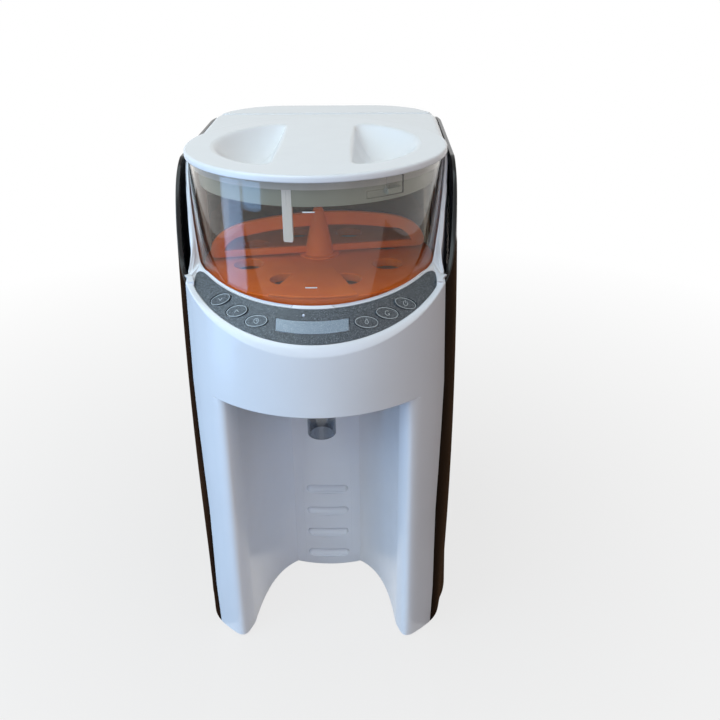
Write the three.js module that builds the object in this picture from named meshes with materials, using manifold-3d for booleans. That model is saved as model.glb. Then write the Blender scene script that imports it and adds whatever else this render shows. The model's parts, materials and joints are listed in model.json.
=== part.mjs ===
// A countertop baby formula maker: powder bowl and stirrer on top, mixing funnel under the head,
// water tank behind. Millimetres, X to the right, Y to the back, Z up, origin on the floor under the middle.
import * as THREE from "three";
import { mergeVertices } from "three/addons/utils/BufferGeometryUtils.js";
import Module from "manifold-3d";

const wasm = await Module();
wasm.setup();

// Body outline: a round nose, straight sides and round rear corners, a little wider at the floor
const bodyDepth = 308;
const bodyHalfWidth = 106;
const bodyHeight = 390;
const bodyTaper = 5;
const rearCornerShare = 0.585;
const bodyGround = 2;
const deckEdgeRadius = 5;
const wall = 3;
const seatGap = 0.3;
const runningClearance = 0.2;
const cutOverrun = 6;

// White front moulding: head, pillars and the seam to the black housing. Its levels stack up from the lip
const headHeight = 158;
const headWallHeight = 47;
const creaseRise = 61;
const bevelHeight = 7.7;
const bevelReach = 4.3;
const bevelTurnShares = [0.36, 0.62];
const panelRise = 44;
const panelClimb = 20.3;
const rimRise = 24;
const panelEdgeLand = 0.6;
const crescentThickness = 3.4;
const headSweepAngle = 67.5;
const bowlSetback = 10.4;
const seamShare = 0.4453;

// Bottle niche in plan, as shares of the body's half width: across, and back from the bowl's axis
const nicheMouthShare = 0.7264;
const nicheWallShares = [0.5708, -0.6792];
const nicheSideShares = [0.5377, -0.3774];
const nicheCornerShares = [0.4717, -0.0755];
const nicheBackShares = [0.2783, 0.0585];
const nicheLipPull = 18;
const nicheBackBulge = 4.4;

// Insert in the niche's back wall, with slots for a bottle stand
const slotHalfWidth = 18.5;
const slotHeight = 7.4;
const slotDepth = 7;
const slotLowZ = 13.8;
const slotPitch = 24.2;
const slotCount = 4;

// Cheeks: the line on which both housings sweep up from the panel's ends to the top deck
const cheekFrontShare = 0.6486;
const cheekBendShare = 0.3027;
const cheekTopSetback = 4;
const cheekRise = 4;
const cheekBendHeight = 7;
const skinDrop = 3;
const cheekProud = 1.5;
const cheekSeamSetback = 22;

// Rear: shelf under the tank, valve and base
const tankDepth = 45;
const shelfZ = 112;
const tankLidHeight = 5;
const tankWall = 2.6;
const tankLidInset = 2.8;
const tankLidSkirt = 10;
const tankLidPlate = 2.6;
const valveShare = 0.4889;
const valveTubeRadius = 9;
const valveTubeBore = 6.5;
const valveTubeDrop = 10;
const valveHeadRadius = 8.5;
const valveHeadThickness = 2.4;
const valveStemRadius = 1.8;
const valveTravel = 3;
const valveSocketWall = 4;
const valveSocketFloor = 3;
const valvePinRadius = 1.5;
const guideThickness = 3;
const guideHoleRadius = 1.4;
const guideHoleCount = 3;
const cageRadius = 11;
const cageHeight = 20;
const cageTopThickness = 2;
const cageLegWidth = 4;
const springWireRadius = 0.55;
const springCoilRadius = 4;
const springTurns = 4;
const ventCount = 7;
const ventWidth = 3;
const ventPitch = 9;
const ventLowZ = 42;
const ventHeight = 34;
const glandOffset = 30;
const glandZ = 24;
const glandRadius = 6.5;
const glandFlangeRadius = 9;
const glandFlange = 2;
const glandBore = 3.4;
const glandDepth = 9;
const basePlateZ = 6;
const basePlateThickness = 3;
const footShare = 0.0755;
const footFrontShares = [0.7028, -0.6415];
const footRearShare = 0.566;
const footRearInset = 34.5;

// Powder bowl, measured from its own axis
const bowlInset = 8.5;
const bowlWall = 2.8;
const bowlRimProud = 2;
const bowlSeatDepth = 4;
const bowlFloorThickness = 3;
const bowlFootInset = 8.5;
const bowlFootHeight = 3;
const cradleClearance = 0.8;
const cradlePlateThickness = 3;
const cradleLedge = 4;
const hubHoleRadius = 9.6;
const outletShare = 0.6054;
const outletRadius = 11.5;
const outletSealWidth = 3.5;
const bayonetCount = 3;
const bayonetAngle = 37.6;
const bayonetTurnAngle = 9.2;
const bayonetWidth = 13;
const bayonetDepth = 1.5;
const bayonetDrop = 12.6;
const bayonetSlotHeight = 4.8;
const lugHeight = 4;
const lugWidth = 11.4;

// Lid with two finger scoops beside a grip bar
const lidOverhang = 2.5;
const lidRise = 5.5;
const lidThickness = 3;
const lidRimDrop = 5;
const lidEdgeRound = 2.4;
const lidEdgeShare = 0.3;
const skirtInset = 6.5;
const skirtThickness = 2.5;
const skirtDrop = 22.5;
const tabAngle = -10;
const tabWidth = 6.5;
const tabDrop = 24;
const gripHalfWidth = 27;
const scoopInset = 12;
const scoopDepth = 17;
const scoopWallRun = 17;
const scoopBendShares = [0.3, 1.5];
const scoopShell = 2.4;
const lidSealHeight = 4;
const lidSealDrop = 5;

// Stirrer and dosing wheel
const dosingClearance = 1.3;
const dosingThickness = 6;
const dosingPocketRadius = 11;
const dosingPocketCount = 8;
const stirrerConeHeight = 37.4;
const stirrerConeRadius = 10.8;
const stirrerConeShares = [[1, 0.065], [0.97, 0.15], [0.78, 0.41], [0.46, 0.84], [0.22, 0.965]];
const stirrerHubRadius = 15;
const stirrerHubHeight = 1.2;
const stirrerTipClearance = 6.7;
const stirrerArmAngles = [10, 190];
const stirrerArmThickness = 4;
const stirrerBarHeight = 5.5;
const stirrerBandHeight = 10.5;
const stirrerLoopHeight = 31.5;
const stirrerLoopBendShare = 0.6627;
const stirrerLoopFall = 5;
const wiperThickness = 1.6;
const wiperHalfAngle = 20;
const wiperInnerRadius = 34;

// Drive under the bowl, its levels measured up from the head floor
const gearModule = 1.4;
const gearTeeth = 54;
const pinionTeeth = 18;
const gearPressureAngle = 20;
const gearRootShare = 1.25;
const gearRimWidth = 5.6;
const gearThickness = 8;
const gearRise = 29;
const gearWebThickness = 3.2;
const pinionOverlap = 2;
const gearBacklash = 0.35;
const driveShaftRadius = 4;
const dogRadius = 8;
const dogHeight = 21;
const dogSides = 6;
const bushingLength = 7;
const gearHubRadius = 9;
const gearPlateRise = 13;
const gearPlateThickness = 3;
const gearPlateHalfWidth = 46;
const gearPlateFront = 34;
const gearPlateRear = 77;
const standoffRadius = 4.5;
const motorRadius = 18;
const motorHeight = 56;
const motorShaftRadius = 3;
const motorSocketDepth = 8;
const motorNeckRadius = 7;
const motorNeckHeight = 5;

// Mixing funnel, its rails, the powder chute and the water nozzle, their levels measured down from the lip
const funnelShare = 0.4324;
const funnelFlangeShare = 0.3396;
const funnelFlangeDrop = 6.7;
const funnelFlangeThickness = 3.3;
const funnelEarWidth = 5;
const funnelEarHalfLength = 20;
const funnelRimWidth = 4;
const funnelWall = 2;
const spoutRadius = 11.4;
const spoutTopDrop = 42;
const spoutBottomDrop = 57.5;
const funnelPullWidth = 26;
const funnelPullReach = 9;
const coverHeight = 3;
const coverWidth = 7;
const railWidth = 7;
const railLength = 50;
const railShift = 7;
const railLipThickness = 2.7;
const railWeb = 2.6;
const headFloorInset = 1;
const headFloorThickness = 3;
const headFloorSetback = 14;
const chuteRadius = 14;
const chuteBore = 12;
const chuteDrop = 2;
const chuteFlangeRadius = 19;
const chuteFlangeThickness = 2;
const nozzleOffset = 30;
const nozzleAside = 20;
const nozzleRadius = 4;
const nozzleBore = 2;
const nozzleHeadHeight = 7;
const nozzleHeadRadius = 6.5;
const nozzleSpigot = 4;

// Control panel on the crescent: measured along it by angle, across it as a share of its width
const overlayThickness = 1;
const overlayTipAngle = 62;
const overlayTipSpanAngle = 3.6;
const overlayTipLeastShare = 0.2;
const keyHalfLength = 7.1;
const keyHalfHeight = 4;
const keyProud = 0.4;
const keyDepth = 3.6;
const keyTravel = 0.6;
const keyAngles = [22.2, 31.6, 41.2];
const keyAcrossShares = [0.47, 0.51, 0.56];
const windowHalfAngle = 14.4;
const windowShares = [0.36, 0.725];
const displayHalfAngle = 17.5;
const displayShares = [0.27, 0.765];
const displayThickness = 2.6;
const ledAngle = -3.4;
const ledAcrossShare = 0.83;
const ledRadius = 1.1;
const ledLength = 5;
const keyBoardThickness = 1.2;
const keyBoardClearance = 0.8;
const keyBoardAngles = [18, 45];
const keyBoardShares = [0.25, 0.47];

// Water path and electrics inside the body, placed from the middle and from the tank's front
const pumpOffset = 42;
const pumpClearance = 69;
const pumpRadius = 17;
const pumpHeight = 44;
const pumpHeadRadius = 21;
const pumpHeadHeight = 16;
const pumpPortOffset = 10.2;
const heaterOffset = 44;
const heaterClearance = 65;
const heaterRadius = 19;
const heaterRise = 15.3;
const heaterCapRadius = 22;
const heaterCapHeight = 8;
const heaterPortOffset = 10.45;
const portRadius = 4;
const portLength = 9;
const tubeRadius = 3;
const boardInset = 22;
const boardClearance = 79;
const boardHalfLength = 38;
const boardHeight = 96;
const boardThickness = 1.6;
const transformerSize = 22;
const transformerWidth = 17.6;
const capacitorRadius = 7;
const capacitorHeight = 18;
const boardFootLength = 10;
const boardFootThickness = 3;
const switchLength = 20;
const switchDepth = 4.4;
const switchHeight = 5;

// Facets
const turnStep = 7.5;
const cornerSteps = 6;
const curveSteps = 6;
const smallSteps = 12;
const edgeSteps = 4;
const wireSteps = 3;
const coilSteps = 8;

const degrees = Math.PI / 180;
const ringSteps = 360 / turnStep;
const noseSteps = ringSteps / 2;

// Levels, all from the body's height, the shelf's and the floor's
const lipZ = bodyHeight - headHeight;
const creaseFrontZ = lipZ + headWallHeight;
const panelFrontZ = creaseFrontZ + bevelHeight;
const rimFrontZ = panelFrontZ + panelClimb;
const cheekFrontZ = rimFrontZ + cheekRise;
const skinTopZ = bodyHeight - skinDrop;
const tankTopZ = bodyHeight - tankLidHeight;
const bowlRimZ = bodyHeight + bowlRimProud;
const bowlFloorZ = rimFrontZ - bowlSeatDepth;
const bayonetLowZ = bowlRimZ - bayonetDrop;
const lidTopZ = bowlRimZ + lidRise;
const cradleTopZ = bowlFloorZ - bowlFootHeight - seatGap;
const cradleLowZ = cradleTopZ - cradlePlateThickness;
const dosingLowZ = bowlFloorZ + bowlFloorThickness + seatGap;
const dosingTopZ = dosingLowZ + dosingThickness;
const dogLowZ = cradleTopZ + seatGap;
const headFloorZ = lipZ + headFloorInset;
const gearZ = headFloorZ + gearRise;
const gearPlateZ = headFloorZ + gearPlateRise;
const funnelFlangeTopZ = lipZ - funnelFlangeDrop;
const chuteLowZ = lipZ - chuteDrop;
const tankFloorZ = shelfZ + seatGap + wall;
const valveHeadZ = tankFloorZ + seatGap;
const stemLowZ = shelfZ - valveTubeDrop - valveTravel / 3;
const floorTopZ = basePlateZ + basePlateThickness + seatGap;
const pumpTopZ = floorTopZ + pumpHeight + pumpHeadHeight;
const heaterTopZ = shelfZ + heaterRise;
const portTopZ = pumpTopZ + portLength;
const seatPortZ = shelfZ - valveTubeDrop - 2 * valveSocketFloor - seatGap - portLength;

// Places in plan
const halfWidthAt = (z) => bodyHalfWidth - (bodyTaper * z) / bodyHeight;
const noseY = halfWidthAt(lipZ) - bodyDepth / 2;
const bowlY = noseY + bowlSetback;
const seamY = noseY - bodyHalfWidth * seamShare;
const rearCornerRadius = bodyHalfWidth * rearCornerShare;
const nicheBackReach = bodyHalfWidth * nicheBackShares[1];
const rackRearY = bowlY + nicheBackReach - nicheBackBulge + slotDepth + wall;
const rackHalfWidth = slotHalfWidth + wall;
const rackTopZ = slotLowZ + slotPitch * slotCount;
const bowlRadius = bodyHalfWidth - bodyTaper - bowlInset;
const bowlInner = bowlRadius - bowlWall;
const bowlFootRadius = bowlRadius - bowlFootInset;
const bowlBore = bowlRadius + cradleClearance;
const rimRadius = bowlRadius + wall;
const lidRadius = bowlRadius + lidOverhang;
const skirtRadius = bowlRadius - skirtInset;
const scoopRadius = skirtRadius - scoopInset;
const dosingRadius = bowlInner - dosingClearance;
const stirrerReach = bowlInner - stirrerTipClearance;
const gearPitchRadius = (gearModule * gearTeeth) / 2;
const gearCentres = (gearModule * (gearTeeth + pinionTeeth)) / 2;
const cheekFrontReach = bowlRadius * cheekFrontShare;
const cheekBendReach = bowlRadius * cheekBendShare;
const outletOffset = bowlRadius * outletShare;
const funnelOffset = bowlRadius * funnelShare;
const funnelFlangeRadius = bodyHalfWidth * funnelFlangeShare;
const funnelMouthRadius = funnelFlangeRadius - funnelRimWidth;
const footRadius = bodyHalfWidth * footShare;
const tankFrontY = bodyDepth / 2 - tankDepth;
const valveY = tankFrontY + tankDepth * valveShare;
const seatPortY = valveY + valveTubeRadius / 2;
const pumpY = tankFrontY - pumpClearance;
const heaterY = tankFrontY - heaterClearance;
const boardX = boardInset - bodyHalfWidth;
const boardY = tankFrontY - boardClearance;

// Turns a closed geometry into a solid that booleans can use, with its faces pointing out
function toSolid(geometry) {
  const bare = new THREE.BufferGeometry();
  bare.setAttribute("position", geometry.getAttribute("position"));
  if (geometry.index) bare.setIndex(geometry.index);
  const merged = mergeVertices(bare, 1e-4);
  const places = merged.getAttribute("position").array;
  const kept = [];
  let volume = 0;
  const [a, b, c] = [0, 1, 2].map(() => new THREE.Vector3());
  for (let i = 0; i < merged.index.count; i += 3) {
    const [p, q, r] = [0, 1, 2].map((k) => merged.index.array[i + k]);
    if (p === q || q === r || r === p) continue;
    kept.push(p, q, r);
    volume += a.fromArray(places, 3 * p).dot(b.fromArray(places, 3 * q).cross(c.fromArray(places, 3 * r)));
  }
  if (volume < 0) kept.reverse();
  const mesh = new wasm.Mesh({ numProp: 3, vertProperties: places, triVerts: new Uint32Array(kept) });
  return new wasm.Manifold(mesh);
}

const join = (first, ...others) => others.reduce((sum, next) => sum.add(next), first);
const cut = (first, ...others) => others.reduce((rest, next) => rest.subtract(next), first);

function block(lowX, highX, lowY, highY, lowZ, highZ) {
  const geometry = new THREE.BoxGeometry(highX - lowX, highY - lowY, highZ - lowZ);
  return toSolid(geometry.translate((lowX + highX) / 2, (lowY + highY) / 2, (lowZ + highZ) / 2));
}

function rod(radius, lowZ, highZ, x = 0, y = 0, steps = smallSteps) {
  const geometry = new THREE.CylinderGeometry(radius, radius, highZ - lowZ, steps);
  return toSolid(geometry.rotateX(Math.PI / 2).translate(x, y, (lowZ + highZ) / 2));
}

// Revolves a profile of [radius, height] points about the upright axis
function turned(profile, steps = ringSteps) {
  const points = profile.map(([radius, height]) => new THREE.Vector2(Math.max(radius, 0), height));
  return toSolid(new THREE.LatheGeometry(points, steps).rotateX(Math.PI / 2));
}

const ring = (outer, inner, lowZ, highZ, steps = ringSteps) =>
  turned([[inner, lowZ], [outer, lowZ], [outer, highZ], [inner, highZ], [inner, lowZ]], steps);

function prism(shape, lowZ, highZ, steps = curveSteps) {
  const settings = { depth: highZ - lowZ, bevelEnabled: false, curveSegments: steps };
  return toSolid(new THREE.ExtrudeGeometry(shape, settings).translate(0, 0, lowZ));
}

// Extrudes a shape drawn in the side view, Y across and Z up, from one X to another
function sideways(shape, lowX, highX, steps = curveSteps) {
  const settings = { depth: highX - lowX, bevelEnabled: false, curveSegments: steps };
  const geometry = new THREE.ExtrudeGeometry(shape, settings).translate(0, 0, lowX);
  const [x, y, z] = [new THREE.Vector3(0, 1, 0), new THREE.Vector3(0, 0, 1), new THREE.Vector3(1, 0, 0)];
  return toSolid(geometry.applyMatrix4(new THREE.Matrix4().makeBasis(x, y, z)));
}

// Skins a row of rings with the same number of points and closes both ends
function loft(rings, flatten) {
  const flat = rings[0].map(flatten);
  const ordered = THREE.ShapeUtils.isClockWise(flat) ? rings.map((one) => [...one].reverse()) : rings;
  const count = ordered[0].length;
  const faces = [];
  for (let k = 0; k + 1 < ordered.length; k += 1) {
    for (let i = 0; i < count; i += 1) {
      const next = (i + 1) % count;
      const [low, high] = [k * count, (k + 1) * count];
      faces.push(low + i, low + next, high + next, low + i, high + next, high + i);
    }
  }
  const last = (ordered.length - 1) * count;
  for (const [p, q, r] of THREE.ShapeUtils.triangulateShape(ordered[0].map(flatten), [])) faces.push(r, q, p);
  for (const [p, q, r] of THREE.ShapeUtils.triangulateShape(ordered.at(-1).map(flatten), [])) {
    faces.push(last + p, last + q, last + r);
  }
  return toSolid(new THREE.BufferGeometry().setFromPoints(ordered.flat()).setIndex(faces));
}

function arcPoints(x, y, radius, from, to, steps) {
  return Array.from({ length: steps + 1 }, (_, i) => {
    const angle = (from + ((to - from) * i) / steps) * degrees;
    return new THREE.Vector2(x + radius * Math.cos(angle), y + radius * Math.sin(angle));
  });
}

// The body's outline at one height, drawn in by an inset
function bodyRing(z, inset) {
  const half = halfWidthAt(z) - inset;
  const rear = bodyDepth / 2 - inset;
  const corner = rearCornerRadius - inset;
  const points = [
    ...arcPoints(half - corner, rear - corner, corner, 0, 90, cornerSteps),
    ...arcPoints(corner - half, rear - corner, corner, 90, 180, cornerSteps),
    ...arcPoints(0, noseY, half, 180, 360, noseSteps),
  ];
  return points.map((point) => new THREE.Vector3(point.x, point.y, z));
}

function bodyBlock(lowZ, highZ, inset, topRound = 0) {
  const rings = [bodyRing(lowZ, inset)];
  if (!topRound) rings.push(bodyRing(highZ, inset));
  for (let i = 0; topRound && i <= edgeSteps; i += 1) {
    const angle = (90 * degrees * i) / edgeSteps;
    rings.push(bodyRing(highZ - topRound * (1 - Math.sin(angle)), inset + topRound * (1 - Math.cos(angle))));
  }
  return loft(rings, (point) => new THREE.Vector2(point.x, point.y));
}

const farX = bodyHalfWidth + cutOverrun;
const farY = bodyDepth / 2 + cutOverrun;
const behind = (y) => block(-farX, farX, y, farY, -cutOverrun, lidTopZ);
const ahead = (y) => block(-farX, farX, -farY, y, -cutOverrun, lidTopZ);

// The niche's outline in plan from its mouth to the middle of the back, then mirrored
function nicheOutline(grow) {
  const mouthX = bodyHalfWidth * nicheMouthShare;
  const mouthAngle = Math.asin(nicheMouthShare);
  const mouth = new THREE.Vector2(mouthX, noseY - bodyHalfWidth * Math.cos(mouthAngle));
  const pulled = new THREE.Vector2(
    mouth.x - nicheLipPull * Math.cos(mouthAngle),
    mouth.y - nicheLipPull * Math.sin(mouthAngle),
  );
  const place = ([across, back]) => new THREE.Vector2(bodyHalfWidth * across, bowlY + bodyHalfWidth * back);
  const shares = [nicheWallShares, nicheSideShares, nicheCornerShares, nicheBackShares];
  const [side, bend, corner, back] = shares.map(place);
  const bulgeY = back.y - nicheBackBulge;
  const curves = [
    new THREE.QuadraticBezierCurve(mouth, pulled, side),
    new THREE.CubicBezierCurve(side, bend, corner, back),
    new THREE.QuadraticBezierCurve(back, new THREE.Vector2(back.x / 2, bulgeY), new THREE.Vector2(0, bulgeY)),
  ];
  const half = [];
  curves.forEach((curve, k) => {
    for (let i = k ? 1 : 0; i <= curveSteps; i += 1) {
      const along = curve.getTangent(i / curveSteps);
      const outward = new THREE.Vector2(along.y, -along.x);
      half.push(curve.getPoint(i / curveSteps).addScaledVector(outward, grow));
    }
  });
  const left = half.slice(0, -1).reverse().map((point) => new THREE.Vector2(-point.x, point.y));
  const front = [new THREE.Vector2(-half[0].x, -farY), new THREE.Vector2(half[0].x, -farY)];
  return new THREE.Shape([...half, ...left, ...front]);
}

const nicheBlock = (grow, lowZ, highZ) => prism(nicheOutline(grow), lowZ, highZ);

// Direction on the nose at an angle from straight ahead, positive to the right
const noseDirection = (angle) => new THREE.Vector3(Math.sin(angle * degrees), -Math.cos(angle * degrees), 0);
const rising = (frontZ, rise, angle) => frontZ + rise * (1 - Math.cos(angle * degrees));
const pointAbout = (y, angle, radius, z) => noseDirection(angle).multiplyScalar(radius).add({ x: 0, y, z });
const nosePoint = (angle, radius, z) => pointAbout(noseY, angle, radius, z);
const bowlPoint = (angle, radius, z) => pointAbout(bowlY, angle, radius, z);

// The crescent that carries the control panel, at an angle and a share of the way in from its outer edge
function crescentEdges(angle) {
  const outerZ = rising(panelFrontZ, panelRise, angle);
  const outer = nosePoint(angle, halfWidthAt(outerZ) - bevelReach, outerZ);
  const inner = bowlPoint(angle, rimRadius, rising(rimFrontZ, rimRise, angle));
  return [outer, inner];
}

function crescentFrame(angle, share) {
  const [outer, inner] = crescentEdges(angle);
  const slope = inner.clone().sub(outer);
  const run = Math.hypot(slope.x, slope.y);
  const normal = noseDirection(angle).multiplyScalar(slope.z).add({ x: 0, y: 0, z: run }).normalize();
  return { point: outer.clone().addScaledVector(slope, share), normal, width: slope.length() };
}

function crescentPoint(angle, share, lift) {
  const { point, normal } = crescentFrame(angle, share);
  return point.addScaledVector(normal, lift);
}

const flattenRadial = (point) => new THREE.Vector2(Math.hypot(point.x, point.y - noseY), point.z);

// Angles from one to another, with each whole turn step between, so that neighbours share their facets
function turnSteps(from, to) {
  const angles = [from];
  for (let k = Math.floor(from / turnStep) + 1; k * turnStep < to; k += 1) angles.push(k * turnStep);
  return [...angles, to];
}

// A strip of the crescent between two angles, as thick as low to high above the surface
function crescentStrip(fromAngle, toAngle, [near, far], low, high) {
  const rings = turnSteps(fromAngle, toAngle).map((angle) => [
    crescentPoint(angle, near, low),
    crescentPoint(angle, far, low),
    crescentPoint(angle, far, high),
    crescentPoint(angle, near, high),
  ]);
  return loft(rings, flattenRadial);
}

// The head's upright section at one angle: outer wall, bevel, crescent, rim, bowl bore and its ledge
function headSection(angle) {
  const creaseZ = rising(creaseFrontZ, creaseRise, angle);
  const panelZ = rising(panelFrontZ, panelRise, angle);
  const innerZ = rising(rimFrontZ, rimRise, angle);
  const topZ = Math.max(panelZ, creaseZ + panelEdgeLand);
  const outer = halfWidthAt(creaseZ);
  const [turnIn, turnUp] = bevelTurnShares;
  const middleZ = creaseZ + (topZ - creaseZ) * turnUp;
  const ledgeZ = cradleLowZ - seatGap;
  const ledgeRadius = bowlBore - cradleLedge;
  return [
    nosePoint(angle, halfWidthAt(lipZ), lipZ),
    nosePoint(angle, outer, creaseZ),
    nosePoint(angle, outer - bevelReach * turnIn, middleZ),
    nosePoint(angle, outer - bevelReach + panelEdgeLand, topZ),
    bowlPoint(angle, rimRadius - panelEdgeLand, Math.max(innerZ, topZ)),
    bowlPoint(angle, bowlBore, Math.max(innerZ, topZ)),
    bowlPoint(angle, bowlBore, ledgeZ),
    bowlPoint(angle, ledgeRadius, ledgeZ),
    bowlPoint(angle, ledgeRadius, ledgeZ - wall),
    bowlPoint(angle, bowlBore + wall, ledgeZ - wall),
    bowlPoint(angle, bowlBore + wall, innerZ - crescentThickness - wall),
    nosePoint(angle, outer - bevelReach - wall, Math.min(panelZ, topZ) - crescentThickness - wall / 2),
    nosePoint(angle, outer - wall, creaseZ - crescentThickness),
    nosePoint(angle, halfWidthAt(lipZ) - wall, lipZ),
  ];
}

function keyFrame(angle, share) {
  const { point, normal } = crescentFrame(angle, share);
  const along = new THREE.Vector3(1, 0, 0);
  along.addScaledVector(normal, -along.dot(normal)).normalize();
  const up = normal.clone().cross(along);
  return new THREE.Matrix4().makeBasis(along, up, normal).setPosition(point);
}

const keyPlaces = [-1, 1].flatMap((side) =>
  keyAngles.map((angle, i) => ({ angle: side * angle, share: keyAcrossShares[i] })),
);

function ovalGeometry(halfLength, halfHeight, low, high) {
  const shape = new THREE.Shape().absellipse(0, 0, halfLength, halfHeight, 0, 2 * Math.PI);
  const settings = { depth: high - low, bevelEnabled: false, curveSegments: edgeSteps };
  return new THREE.ExtrudeGeometry(shape, settings).translate(0, 0, low);
}

function keyHole(place) {
  const oval = ovalGeometry(keyHalfLength + seatGap, keyHalfHeight + seatGap, -2 * keyDepth, keyDepth);
  return toSolid(oval.applyMatrix4(keyFrame(place.angle, place.share)));
}

function ledHole(radius) {
  const geometry = new THREE.CylinderGeometry(radius, radius, 4 * ledLength, smallSteps).rotateX(Math.PI / 2);
  return toSolid(geometry.applyMatrix4(keyFrame(ledAngle, ledAcrossShare)));
}

// Room in front of and above the line on which the cheeks sweep up
function cheekCut(raise) {
  const [frontY, bendY, topY] = [-cheekFrontReach, -cheekBendReach, cheekTopSetback].map((y) => bowlY + y);
  const [frontZ, topZ] = [cheekFrontZ + raise, skinTopZ + raise];
  const shape = new THREE.Shape();
  shape.moveTo(-farY, frontZ);
  shape.lineTo(frontY, frontZ);
  shape.bezierCurveTo(bendY, frontZ + cheekBendHeight, bendY, topZ - cheekBendHeight, topY, topZ);
  shape.lineTo(topY, lidTopZ);
  shape.lineTo(-farY, lidTopZ);
  return sideways(shape, -farX, farX, 2 * curveSteps);
}

// Everything outside the black skin's inner face, behind the seam
const skinRoom = () =>
  bodyBlock(-cutOverrun, lidTopZ, -cutOverrun)
    .subtract(bodyBlock(-cutOverrun, lidTopZ, wall + seatGap))
    .intersect(behind(seamY));

function overlaySharesAt(angle) {
  const past = Math.max(0, Math.abs(angle) - (overlayTipAngle - overlayTipSpanAngle));
  const open = Math.max(overlayTipLeastShare, Math.sqrt(1 - Math.min(1, past / overlayTipSpanAngle) ** 2));
  return [0.5 - open / 2, 0.5 + open / 2];
}

function overlayAngles() {
  const start = overlayTipAngle - overlayTipSpanAngle;
  const ends = Array.from({ length: edgeSteps }, (_, i) =>
    start + overlayTipSpanAngle * Math.sin((90 * degrees * (i + 1)) / edgeSteps),
  );
  return [...ends.map((angle) => -angle).reverse(), ...turnSteps(-start, start), ...ends];
}

function overlayStrip(clearance, low, high) {
  const side = clearance / crescentFrame(0, 0).width;
  const stretch = 1 + (2 * clearance) / rimRadius;
  const rings = overlayAngles().map((angle) => {
    const [near, far] = overlaySharesAt(angle);
    return [
      crescentPoint(angle * stretch, near - side, low),
      crescentPoint(angle * stretch, far + side, low),
      crescentPoint(angle * stretch, far + side, high),
      crescentPoint(angle * stretch, near - side, high),
    ];
  });
  return loft(rings, flattenRadial);
}

// A strip about the middle of the crescent, wider all round by a clearance
function middleStrip(halfAngle, shares, clearance, low, high) {
  const across = clearance / crescentFrame(0, 0).width;
  const turn = clearance / rimRadius / degrees;
  return crescentStrip(-halfAngle - turn, halfAngle + turn, [shares[0] - across, shares[1] + across], low, high);
}

const windowStrip = (clearance, low, high) => middleStrip(windowHalfAngle, windowShares, clearance, low, high);
const displayStrip = (clearance, low, high) => middleStrip(displayHalfAngle, displayShares, clearance, low, high);
const displayFace = -overlayThickness - seatGap;

// The upright insert in the niche's back wall, as a block that is wider all round by a clearance
function rackBlock(grow, lowZ) {
  const half = rackHalfWidth + grow;
  return block(-half, half, bowlY, rackRearY + grow, lowZ, rackTopZ + grow);
}

// Insert that carries the bottle stand: its face follows the niche, and its slots end in the block
function standRack() {
  const slots = Array.from({ length: slotCount }, (_, i) => {
    const low = slotLowZ + i * slotPitch;
    const shape = new THREE.Shape();
    const end = slotHeight / 2;
    shape.absarc(slotHalfWidth - end, low + end, end, -Math.PI / 2, Math.PI / 2);
    shape.absarc(end - slotHalfWidth, low + end, end, Math.PI / 2, 1.5 * Math.PI);
    const settings = { depth: slotDepth + nicheBackBulge, bevelEnabled: false, curveSegments: edgeSteps };
    const geometry = new THREE.ExtrudeGeometry(shape, settings).rotateX(Math.PI / 2);
    return toSolid(geometry.translate(0, rackRearY - wall, 0));
  });
  return cut(rackBlock(0, bodyGround), nicheBlock(0, -cutOverrun, lidTopZ), ...slots);
}

// White front moulding: head with the crescent, pillars, bottle niche with the insert's frame, and the cheeks
function frontShell() {
  const head = loft(turnSteps(-headSweepAngle, headSweepAngle).map(headSection), flattenRadial);
  const pillars = bodyBlock(bodyGround, headFloorZ - seatGap, 0).intersect(ahead(seamY));
  const nicheShell = nicheBlock(wall, bodyGround, headFloorZ - seatGap)
    .intersect(bodyBlock(bodyGround, headFloorZ, 0));
  const frameHalf = rackHalfWidth + seatGap + wall;
  const rackFrame = block(-frameHalf, frameHalf, bowlY, rackRearY, bodyGround, rackTopZ + seatGap + wall);
  const hollow = bodyBlock(-cutOverrun, lipZ + cutOverrun, wall).subtract(
    join(nicheBlock(wall, -cutOverrun, lidTopZ), rackFrame),
  );
  const lower = join(pillars, nicheShell, rackFrame)
    .subtract(nicheBlock(0, -cutOverrun, lidTopZ))
    .subtract(hollow)
    .subtract(rackBlock(seatGap, -cutOverrun));
  const cheekRoom = block(-farX, farX, bowlY - cheekFrontReach, bowlY + cheekSeamSetback, 0, lidTopZ);
  const cheeks = bodyBlock(cradleLowZ, bodyHeight, wall + seatGap, deckEdgeRadius)
    .intersect(cheekRoom)
    .subtract(rod(bowlBore, 0, lidTopZ, 0, bowlY, ringSteps))
    .subtract(cheekCut(cheekProud));
  const keyHoles = keyPlaces.map(keyHole);
  const whole = join(lower, head.subtract(skinRoom()), cheeks);
  return cut(
    whole,
    overlayStrip(seatGap, -overlayThickness - seatGap, 2 * wall),
    displayStrip(seatGap, displayFace - displayThickness - seatGap, wall),
    ledHole(ledRadius + seatGap),
    ...keyHoles,
  );
}

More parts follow.
